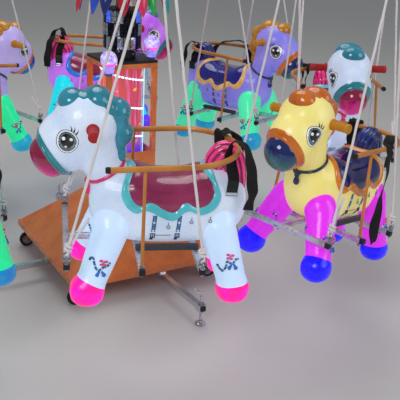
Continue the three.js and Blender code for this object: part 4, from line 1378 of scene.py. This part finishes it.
# %% Lit acrylic
# The colours change from left to right as they do to someone who looks from the camera.
RIGHT_WAY = Vector((math.sin(HEADING), -math.cos(HEADING), 0))


def lit_acrylic(name):
    """Clear acrylic with the coloured lights that show through it."""
    material, shader = begin(name, {
        "Roughness": 0.08, "IOR": 1.49, "Transmission Weight": 0.25, "Coat Weight": 0.5,
        "Coat Roughness": 0.03, "Emission Strength": 0.42})
    where = add(material, "TexCoord").outputs["Object"]
    # The noise is squeezed along the tube's height, which draws it out into upright streaks.
    drawn_out = add(material, "VectorMath", {0: where, 1: (1.0, 1.0, 0.06)}, operation="MULTIPLY")
    to_right = add(material, "VectorMath", {0: where, 1: tuple(RIGHT_WAY)}, operation="DOT_PRODUCT")
    sideways = add(material, "MapRange", {
        "Value": to_right.outputs["Value"], "From Min": -0.08, "From Max": 0.06})
    warm = add(material, "Mix", {FACTOR: sideways.outputs["Result"], COLOUR_A: srgb("#E0682C"),
                                 COLOUR_B: srgb("#C44C64")}, data_type="RGBA")
    streak = speckle(material, drawn_out.outputs["Vector"], 12, -0.9, 1.0, 1.0)
    pink = add(material, "Mix", {FACTOR: streak, COLOUR_A: warm.outputs[MIXED],
                                 COLOUR_B: srgb("#F07CC0")}, data_type="RGBA")
    fleck = add(material, "MapRange", {
        "Value": speckle(material, where, 45, 0.0, 1.0, 1.0), "From Min": 0.82, "From Max": 1.0})
    yellow = add(material, "Mix", {FACTOR: fleck.outputs["Result"], COLOUR_A: pink.outputs[MIXED],
                                   COLOUR_B: srgb("#FFC83C")}, data_type="RGBA")
    height = add(material, "SeparateXYZ", {0: where})
    low_part = add(material, "MapRange", {
        "Value": height.outputs["Z"], "From Min": 0.60, "From Max": 0.70, "To Min": 1.0, "To Max": 0.0})
    blue = add(material, "Mix", {FACTOR: low_part.outputs["Result"], COLOUR_A: yellow.outputs[MIXED],
                                 COLOUR_B: srgb("#5A3CF4")}, data_type="RGBA")
    feed(material, shader, {"Base Color": blue.outputs[MIXED], "Emission Color": blue.outputs[MIXED]})
    return material


# %% Light tube
TUBE_BORE, TUBE_RADIUS, TUBE_LOW, TUBE_HIGH = 95, 100.0, 575.3, 1034.7
tube_wall = turned([(TUBE_BORE, TUBE_LOW), (TUBE_RADIUS, TUBE_LOW), (TUBE_RADIUS, TUBE_HIGH),
                    (TUBE_BORE, TUBE_HIGH), (TUBE_BORE, TUBE_LOW)], steps=72)
show("acrylic_light_tube", template(tube_wall, 60), [lit_acrylic("acrylic_tube_lit")], "base",
     replaces=["light_tube"])

# %% Lamp tape
LED_TAPE = plain("led_tape_white", "#C9CEDA", 0.5, 0.0, 3.0, 0.05)
LED_LENS, _ = begin("led_lens_white", {
    "Base Color": srgb("#F4F6FF"), "Roughness": 0.3, "Emission Color": srgb("#E6EEFF"),
    "Emission Strength": 2.2})
LED_BLUE, _ = begin("led_lens_ice_blue", {
    "Base Color": srgb("#BFE6FF"), "Roughness": 0.3, "Emission Color": srgb("#7CC8FF"),
    "Emission Strength": 1.4})
# The tape winds down to the right, one turn in 136 mm, and crosses the front at 974 mm.
SPIRAL_PITCH, FRONT_HEIGHT = 136.0, 974.0
TAPE_STEPS, LAMPS_A_TURN = 96, 39
LENS_RADIUS = 103.4
TAPE_SECTION = ((100.6, -5), (102.4, -5), (102.4, 5), (100.6, 5))
front_angle = HEADING + math.pi


def on_spiral(turns, radius):
    """A place on the winding tape, counted in turns from the front."""
    angle = front_angle + TURN * turns
    return Vector((radius * math.cos(angle), radius * math.sin(angle), FRONT_HEIGHT - SPIRAL_PITCH * turns))


tape_rings = []
for step in range(-24, 221):
    turns = step / TAPE_STEPS
    tape_rings.append([on_spiral(turns, radius) + Vector((0, 0, up)) for radius, up in TAPE_SECTION])
strip_parts = [(skin(tape_rings), 0)]
for step in range(-9, 90):
    turns = step / LAMPS_A_TURN
    lens = box((0, 0, 0), (2.6, 10.5, 7), 0.8)
    way = (on_spiral(turns + 0.002, LENS_RADIUS) - on_spiral(turns - 0.002, LENS_RADIUS)).normalized()
    along_tape = way.to_track_quat("Y", "Z").to_matrix().to_4x4()
    lens_place = Matrix.Translation(on_spiral(turns, LENS_RADIUS)) @ along_tape
    bmesh.ops.transform(lens, matrix=lens_place, verts=lens.verts)
    strip_parts.append((lens, 1))
# An ice-blue lead runs down the right side of the tube.
LEAD_STOPS = ((105.5, 1030), (106, 900), (105.5, 720), (104, 585))
lead = [RIGHT_WAY * reach + Vector((0, 0, z)) for reach, z in LEAD_STOPS]
strip_parts.append((tube(curve_through(lead, 24), 2.2, 8), 2))
show("led_ring_strips", template(gather(strip_parts)), [LED_TAPE, LED_LENS, LED_BLUE], "base",
     replaces=["led_rings"])

# %% [markdown]
# ## Mirror drum and ball lamps
# Under the petals sits a drum covered with three rows of small mirror plates. Some plates are dark.
# Ball lamps stand out from its foot on plated stalks, each held by a fork with two prongs.
# The balls are cut like crystal, so their facets stay sharp while the turned bodies are smooth.

# %% Mirror drum
DRUM_RADIUS, DRUM_LOW, DRUM_HIGH = 90.0, 1090.0, 1270.0
CORE_LOW = DRUM_LOW + 0.3
DRUM_CORE = [(36, CORE_LOW), (84, CORE_LOW), (84, DRUM_HIGH), (36, DRUM_HIGH), (36, CORE_LOW)]
COLUMNS, ROWS, ROW_HEIGHT = 18, 3, 59
MIRROR = plain("mirror_plate", "#C4C9D2", 0.05, 1.0, 30.0, 0.25, 0.7)
MIRROR_DARK = plain("mirror_plate_dark", "#2A2D38", 0.10, 0.9, 30.0, 0.25, 0.6)
CRYSTAL_BLUE = lacquered("crystal_blue", "#4A78FF", "#2438C8", 0.6, 0.06, 20)


def swung(part, angle):
    """Turn a small part about the machine's upright axis."""
    bmesh.ops.rotate(part, cent=(0, 0, 0), matrix=Matrix.Rotation(angle, 3, "Z"), verts=part.verts)
    return part


drum_parts = [(turned(DRUM_CORE, steps=48), 1)]
for row in range(ROWS):
    for k in range(COLUMNS):
        plate = box((DRUM_RADIUS - 3, 0, DRUM_LOW + 31 + ROW_HEIGHT * row), (4, 27.5, 55), 1.6)
        # Every second row is shifted by half a plate, as bricks are.
        swung(plate, TURN * (k + 0.5 * (row % 2)) / COLUMNS)
        drum_parts.append((plate, random.choice((0, 0, 0, 2, 2, 3 if row == 2 else 0))))
show("mirror_drum_plates", template(gather(drum_parts), 25),
     [MIRROR, BLACK_PLASTIC, MIRROR_DARK, CRYSTAL_BLUE], "base", replaces=["mirror_drum"])

# %% One ball lamp
LAMP_HEIGHT, LAMP_RADIUS, STALK_Z = 112.0, 37.0, 1083.0
FLANGE_PROFILE = [(0, 60), (9, 60), (9, 66), (6, 70), (0, 70)]


def ball_lamp(reach, middle):
    """A cut ball in its ring over a tapered body and a faceted foot, on its stalk and fork."""
    ball_z = middle + LAMP_HEIGHT / 2 - LAMP_RADIUS
    foot_z = middle - LAMP_HEIGHT / 2
    seat_z = ball_z - 30
    at = (reach, 0, 0)
    crystal = bmesh.new()
    bmesh.ops.create_icosphere(crystal, subdivisions=3, radius=LAMP_RADIUS,
                               matrix=Matrix.Translation((reach, 0, ball_z)))
    ring = [(0, ball_z - 16), (33, ball_z - 17), (35, ball_z - 21), (33, ball_z - 27), (30, seat_z),
            (0, seat_z)]
    cup = [(0, seat_z), (29.5, seat_z), (25, foot_z + 24), (22, foot_z + 12), (0, foot_z + 12)]
    foot = [(0, foot_z + 12), (22, foot_z + 12), (19, foot_z + 4), (14, foot_z), (0, foot_z)]
    parts = [
        (crystal, 2), (turned(ring, at, steps=32), 3), (turned(cup, at, steps=32), 4),
        (turned(foot, at, steps=9), 5),
        (cone((61, 0, STALK_Z), (reach - 44, 0, STALK_Z), 3.5, 3.5, 16), 1),
        (turned(FLANGE_PROFILE, (0, 0, STALK_Z), (1, 0, 0), 20), 1)]
    for prong in (-1, 1):
        fork = curve_through([
            (reach - 46, 0, STALK_Z), (reach - 36, prong * 24, STALK_Z - 2),
            (reach - 16, prong * 34, STALK_Z - 4), (reach, prong * 36, ball_z - 22)], 14)
        pivot = cone((reach, prong * 33, ball_z - 22), (reach, prong * 40, ball_z - 22), 4.5, 4.5, 12)
        parts += [(tube(fork, 2.6, 8), 1), (pivot, 1)]
    return parts


# %% Ball lamps round the foot of the drum
# Each lamp: its angle in degrees, its distance from the axis and the height of its middle.
LAMPS = [(-130, 215, 1055), (-50, 150, 1108), (50, 215, 1055)]
HUB_PROFILE = [(36, 1047.3), (62, 1047.3), (64, 1050), (64, 1086), (60, 1089.7), (36, 1089.7), (36, 1047.3)]
HUB_BOLTS = 8
lamp_parts = [(turned(HUB_PROFILE), 0)]
for k in range(HUB_BOLTS):
    bolt = cone((64, 0, 1068), (69, 0, 1068), 5, 5, 6)
    lamp_parts.append((swung(bolt, TURN * (k + 0.5) / HUB_BOLTS), 1))
for angle, reach, middle in LAMPS:
    for part, number in ball_lamp(reach, middle):
        lamp_parts.append((swung(part, math.radians(angle)), number))
LAMP_FINISHES = [
    BLACK_PLASTIC, CHROME,
    lacquered("lamp_crystal_clear", "#F4ECFF", "#7A48F0", 0.6, 0.05, 22),
    lacquered("lamp_ring_pink", "#FF6CC0", "#B838E0", 0.8, 0.1, 20),
    lacquered("lamp_body_lavender", "#B4A4F8", "#7C68E8", 0.55, 0.12, 30),
    lacquered("lamp_foot_blue", "#1C2C98", "#101858", 0.25, 0.08, 20),
]
show("ball_lamps", template(gather(lamp_parts), 16), LAMP_FINISHES, "base",
     replaces=["lamp_cross"])

# %% [markdown]
# ## Base fittings
# Small things make the base look built: screws along the hem of the deck, weld beads on the column,
# rubber wheels with hubs and brake levers, and levelling screws with a cut thread and a cranked handle.

# %% Wheels and brakes
CASTER, TRAIL, WHEEL = 350.0, 28.0, 38.0
TYRE_PROFILE = [(26, -11), (33, -12), (37, -9), (38, -4), (38, 4), (37, 9), (33, 12), (26, 11), (26, -11)]
WHEEL_CORE = [(4.7, -12), (10, -12), (12, -8), (24, -7), (26.5, -9), (26.5, 9), (24, 7), (12, 8), (10, 12),
            (4.7, 12), (4.7, -12)]
SWIVEL_PROFILE = [(6.5, 0), (15, 0), (15, 4), (11, 7), (6.5, 7), (6.5, 0)]
UP = Vector((0, 0, 1))


def rounded(size, edge, centre, turn=Matrix.Identity(4)):
    """A small block with rounded edges, turned and put in its place."""
    part = box((0, 0, 0), size, edge)
    bmesh.ops.transform(part, matrix=Matrix.Translation(centre) @ turn, verts=part.verts)
    return part


for corner, (sx, sy) in enumerate(((-1, -1), (1, -1), (1, 1), (-1, 1)), 1):
    hub = Vector((sx * CASTER - TRAIL, sy * CASTER, WHEEL))
    tyre = turned(TYRE_PROFILE, hub, (0, 1, 0), 48)
    core = turned(WHEEL_CORE, hub, (0, 1, 0), 40)
    show(f"wheel_{corner}_tyre", template(gather([(tyre, 0), (core, 1)])), [RUBBER, ZINC], f"wheel_{corner}",
         replaces=[f"caster_wheel_{corner}"])
    swivel = Vector((sx * CASTER, sy * CASTER, 0))
    pedal = rounded((34, 20, 4), 1.5, swivel + Vector((24, 0, 82)), turn_about("Y", 22))
    fork_parts = [(turned(SWIVEL_PROFILE, swivel + UP * 78, UP, 24), 0), (pedal, 1)]
    for side in (-1, 1):
        nut = cone(hub + Vector((0, side * 19.2, 0)), hub + Vector((0, side * 24, 0)), 7, 7, 6)
        shoe = rounded((30, 3, 12), 1.2, hub + Vector((14, side * 20.5, 26)), turn_about("Y", 30))
        fork_parts += [(nut, 0), (shoe, 1)]
    show(f"caster_{corner}_brake", template(gather(fork_parts)), [ZINC, BLACK_PLASTIC], f"fork_{corner}")

# %% Levelling screws
FOOT_X, FOOT_Y, SCREW_TOP = 52.0, -748.0, 158.0
FOOT = Vector((FOOT_X, FOOT_Y, 0))
GROOVES, GROOVE_PITCH = 52, 2.4
SPINDLE_PROFILE = [(0, 14)]
for groove in range(GROOVES):
    z = 24 + GROOVE_PITCH * groove
    SPINDLE_PROFILE += [(5.0, z), (6.0, z + 0.9), (6.0, z + 1.4)]
SPINDLE_PROFILE += [(5.6, 149), (5.6, SCREW_TOP - 2), (0, SCREW_TOP)]
CUP_PROFILE = [(0, 3), (22.5, 3), (23, 5), (21, 9), (15, 12), (9, 14), (9, 19), (0, 19)]
PAD_PROFILE = [(0, 0), (22, 0), (22.5, 1), (22.5, 3), (0, 3)]
CRANK = [(0, 0, 148), (-3, 1, 158), (-14, 4, 163), (-26, 8, 168), (-28, 8.6, 173)]
NUT_X, BOLT_Y = 39, -401
# The plug closes the outer end of the arm, which runs out from its root under the deck.
ARM_ROOT = Vector((36, -330, 0))
arm_way = (FOOT - ARM_ROOT).normalized()


def crank_screw():
    """The threaded spindle with its cup foot, rubber pad and cranked handle."""
    crank = [(FOOT_X + dx, FOOT_Y + dy, z) for dx, dy, z in CRANK]
    return gather([
        (turned(SPINDLE_PROFILE, FOOT, steps=20), 0),
        (turned(CUP_PROFILE, FOOT, steps=36), 0),
        (turned(PAD_PROFILE, FOOT, steps=36), 1),
        (tube(curve_through(crank, 20), 4.6, 12), 0),
        (ball(crank[-1], (5.5, 5.5, 6), 2.0, 16, 10), 0),
    ])


def arm_fittings():
    """The nuts above and below an outrigger, its end plug and the two bolts at its root."""
    parts = [(cone((FOOT_X, FOOT_Y, 100.4), (FOOT_X, FOOT_Y, 110), 11, 11, 6), 0),
             (cone((FOOT_X, FOOT_Y, 67.6), (FOOT_X, FOOT_Y, 58), 11, 11, 6), 0),
             (rounded((24, 6, 24), 2.0, Vector((FOOT_X, FOOT_Y, 84)) + arm_way * 20), 1)]
    for side in (-1, 1):
        bolt_x = NUT_X + side * 21
        parts.append((cone((bolt_x, BOLT_Y, 90), (bolt_x, BOLT_Y, 98), 5, 5, 6), 0))
    return gather(parts)


for k, side_name in enumerate(SIDE_NAMES):
    quarter = Matrix.Rotation(TURN * k / 4, 4, "Z")
    screw, fittings = crank_screw(), arm_fittings()
    for part in (screw, fittings):
        bmesh.ops.transform(part, matrix=quarter, verts=part.verts)
    show(f"levelling_screw_{side_name}_thread", template(screw, 30), [CHROME, RUBBER], f"screw_{side_name}",
         replaces=[f"levelling_screw_{side_name}"])
    show(f"outrigger_{side_name}_fittings", template(fittings), [ZINC, BLACK_PLASTIC], "base")

# %% Welds and screws of the column
POST, HALF_POST = 114.0, 12.2
LOW_WELD, MIDDLE_WELD, TOP_WELD = 377, 612, 1012
DECK_SCREW = [(0, 0), (6, 0), (6.5, 1.5), (5, 3.2), (0, 4)]
POST_SCREW = [(0, 0), (4.5, 0), (4.5, 2), (0, 3)]


def weld(points, radius):
    """A weld bead along a closed line. Its small waves are the ripples of the weld."""
    path = []
    for a, b in zip(points, points[1:] + points[:1]):
        steps = max(4, int((Vector(b) - Vector(a)).length / 3))
        path += [Vector(a).lerp(Vector(b), i / steps) for i in range(steps)]
    return tube(path, radius, 6, loop=True, shape=lambda angle, along: 1.0 + 0.22 * math.sin(along * 1.4))


fitting_parts = []
for sx in (-1, 1):
    for sy in (-1, 1):
        for z in (LOW_WELD, MIDDLE_WELD, TOP_WELD):
            x, y = sx * POST, sy * POST
            # The lowest weld is a little wider, because it lies round the foot of the post.
            reach = HALF_POST + 1 if z == LOW_WELD else HALF_POST
            corners = [(x - reach, y - reach, z), (x + reach, y - reach, z),
                       (x + reach, y + reach, z), (x - reach, y + reach, z)]
            fitting_parts.append((weld(corners, 2.2), 0))
for k in range(4):
    turn = Matrix.Rotation(TURN * k / 4, 4, "Z")
    out = turn @ Vector((0, -1, 0))
    for across in (-330, -110, 110, 330):
        fitting_parts.append((turned(DECK_SCREW, turn @ Vector((across, -405, 118)), out, 20), 1))
    for z in (1024, 403):
        for across in (-84, 84):
            fitting_parts.append((turned(POST_SCREW, turn @ Vector((across, -125, z)), out, 16), 1))
show("column_welds_and_screws", template(gather(fitting_parts), 35), [BASE_ENAMEL, ZINC], "base")

# %% Bolts and end plugs of the head
ARM_Z, PIVOT_Z, PIVOT_X = 1806, 1752, -78
# Two rings of hexagon bolts hold the hub: the radius and the height of each ring.
HUB_RINGS = ((92, 1844), (44, 1716))
ARMS = 8
head_parts = []
for k in range(ARMS):
    turn = Matrix.Rotation(TURN * (k + 0.5) / ARMS, 4, "Z")
    for radius, z in HUB_RINGS:
        spot = turn @ Vector((radius, 0, z))
        head_parts.append((cone(spot, spot + UP * 7, 7, 7, 6), 0))
tip = Vector((PIVOT_X, RING_RADIUS, 0))
out = tip.normalized()
plug_turn = out.to_track_quat("X", "Z").to_matrix().to_4x4()
plug_place = Matrix.Translation(tip + out * 28 + UP * ARM_Z + out * 1.5) @ plug_turn
for index in range(ARMS):
    plug = box((0, 0, 0), (4, 41, 41), 1.5)
    bmesh.ops.transform(plug, matrix=arm_turn(index) @ plug_place, verts=plug.verts)
    head_parts.append((plug, 1))
    for side in (-1, 1):
        near, far = PIVOT_X + side * 23, PIVOT_X + side * 28
        nut = cone((near, RING_RADIUS, PIVOT_Z), (far, RING_RADIUS, PIVOT_Z), 9, 9, 6)
        bmesh.ops.transform(nut, matrix=arm_turn(index), verts=nut.verts)
        head_parts.append((nut, 0))
show("head_bolts_and_caps", template(gather(head_parts), 35), [ZINC, BLACK_PLASTIC], "head")

# %% [markdown]
# ## Petals
# Glossy pointed petals in many colours hang in two layers under the head. Each is a thin leaf that is
# bent round its length, so it catches the light along its middle.

# %% Petal shape
PETAL_TOP_Z, PETAL_TIP_Z, TOP_R, TIP_R = 1640, 1252, 105, 214
PETAL_LENGTH = math.hypot(PETAL_TOP_Z - PETAL_TIP_Z, TIP_R - TOP_R)
PETAL_LEAN = math.atan2(TIP_R - TOP_R, PETAL_TOP_Z - PETAL_TIP_Z)
# Half the width at the root and at the widest place, which is a share of the length.
ROOT_HALF, FULL_HALF, WIDEST = 24, 49, 0.6
PETAL_BULGE, HALF_THICK = 14, 1.5


def petal():
    """A leaf hanging down from the origin, curved across its width."""
    rings = []
    for step in range(19):
        t = step / 18
        if t < WIDEST:
            half = ROOT_HALF + (FULL_HALF - ROOT_HALF) * math.sin(math.pi / 2 * t / WIDEST)
        else:
            half = FULL_HALF * ((1 - t) / (1 - WIDEST)) ** 0.66
        half = max(half, 0.6)
        front, back = [], []
        for k in range(9):
            u = k / 4 - 1
            bulge = PETAL_BULGE * (1 - u * u) * min(1.0, half / ROOT_HALF)
            front.append(Vector((u * half, bulge + HALF_THICK, -PETAL_LENGTH * t)))
            back.append(Vector((u * half, bulge - HALF_THICK, -PETAL_LENGTH * t)))
        rings.append(front + list(reversed(back)))
    return skin(rings)


# %% Petal skirt
PETAL_COLOURS = ["#C01838", "#1C2C9C", "#18A0A0", "#14309A", "#C8203C", "#2450C8", "#14206E", "#B41432",
                 "#E02860", "#20B050", "#159A9C", "#C81C3C", "#1A2C9C", "#20A850", "#F0B020", "#7A28B0"]
HOLDER_PROFILE = [(30.5, 0), (119, 0), (119, 12), (30.5, 12), (30.5, 0)]
petal_parts = [(turned(HOLDER_PROFILE, (0, 0, PETAL_TOP_Z)), 0)]
for i in range(len(PETAL_COLOURS)):
    # Outer and inner petals take turns. The inner ones lean out less.
    radius, lean = (TOP_R + 8, PETAL_LEAN) if i % 2 == 0 else (TOP_R - 6, PETAL_LEAN * 0.86)
    place = (turn_about("Z", 22.5 * i) @ Matrix.Translation((0, radius, PETAL_TOP_Z + 6))
             @ Matrix.Rotation(lean, 4, "X"))
    leaf = petal()
    bmesh.ops.transform(leaf, matrix=place, verts=leaf.verts)
    petal_parts.append((leaf, i + 1))
petal_finishes = [BASE_ENAMEL]
for i, colour in enumerate(PETAL_COLOURS):
    petal_finishes.append(lacquered(f"petal_lacquer_{i + 1}", colour, colour, 0.12, 0.12))
show("petals", template(gather(petal_parts), 50), petal_finishes, "head",
     replaces=["petal_skirt"])
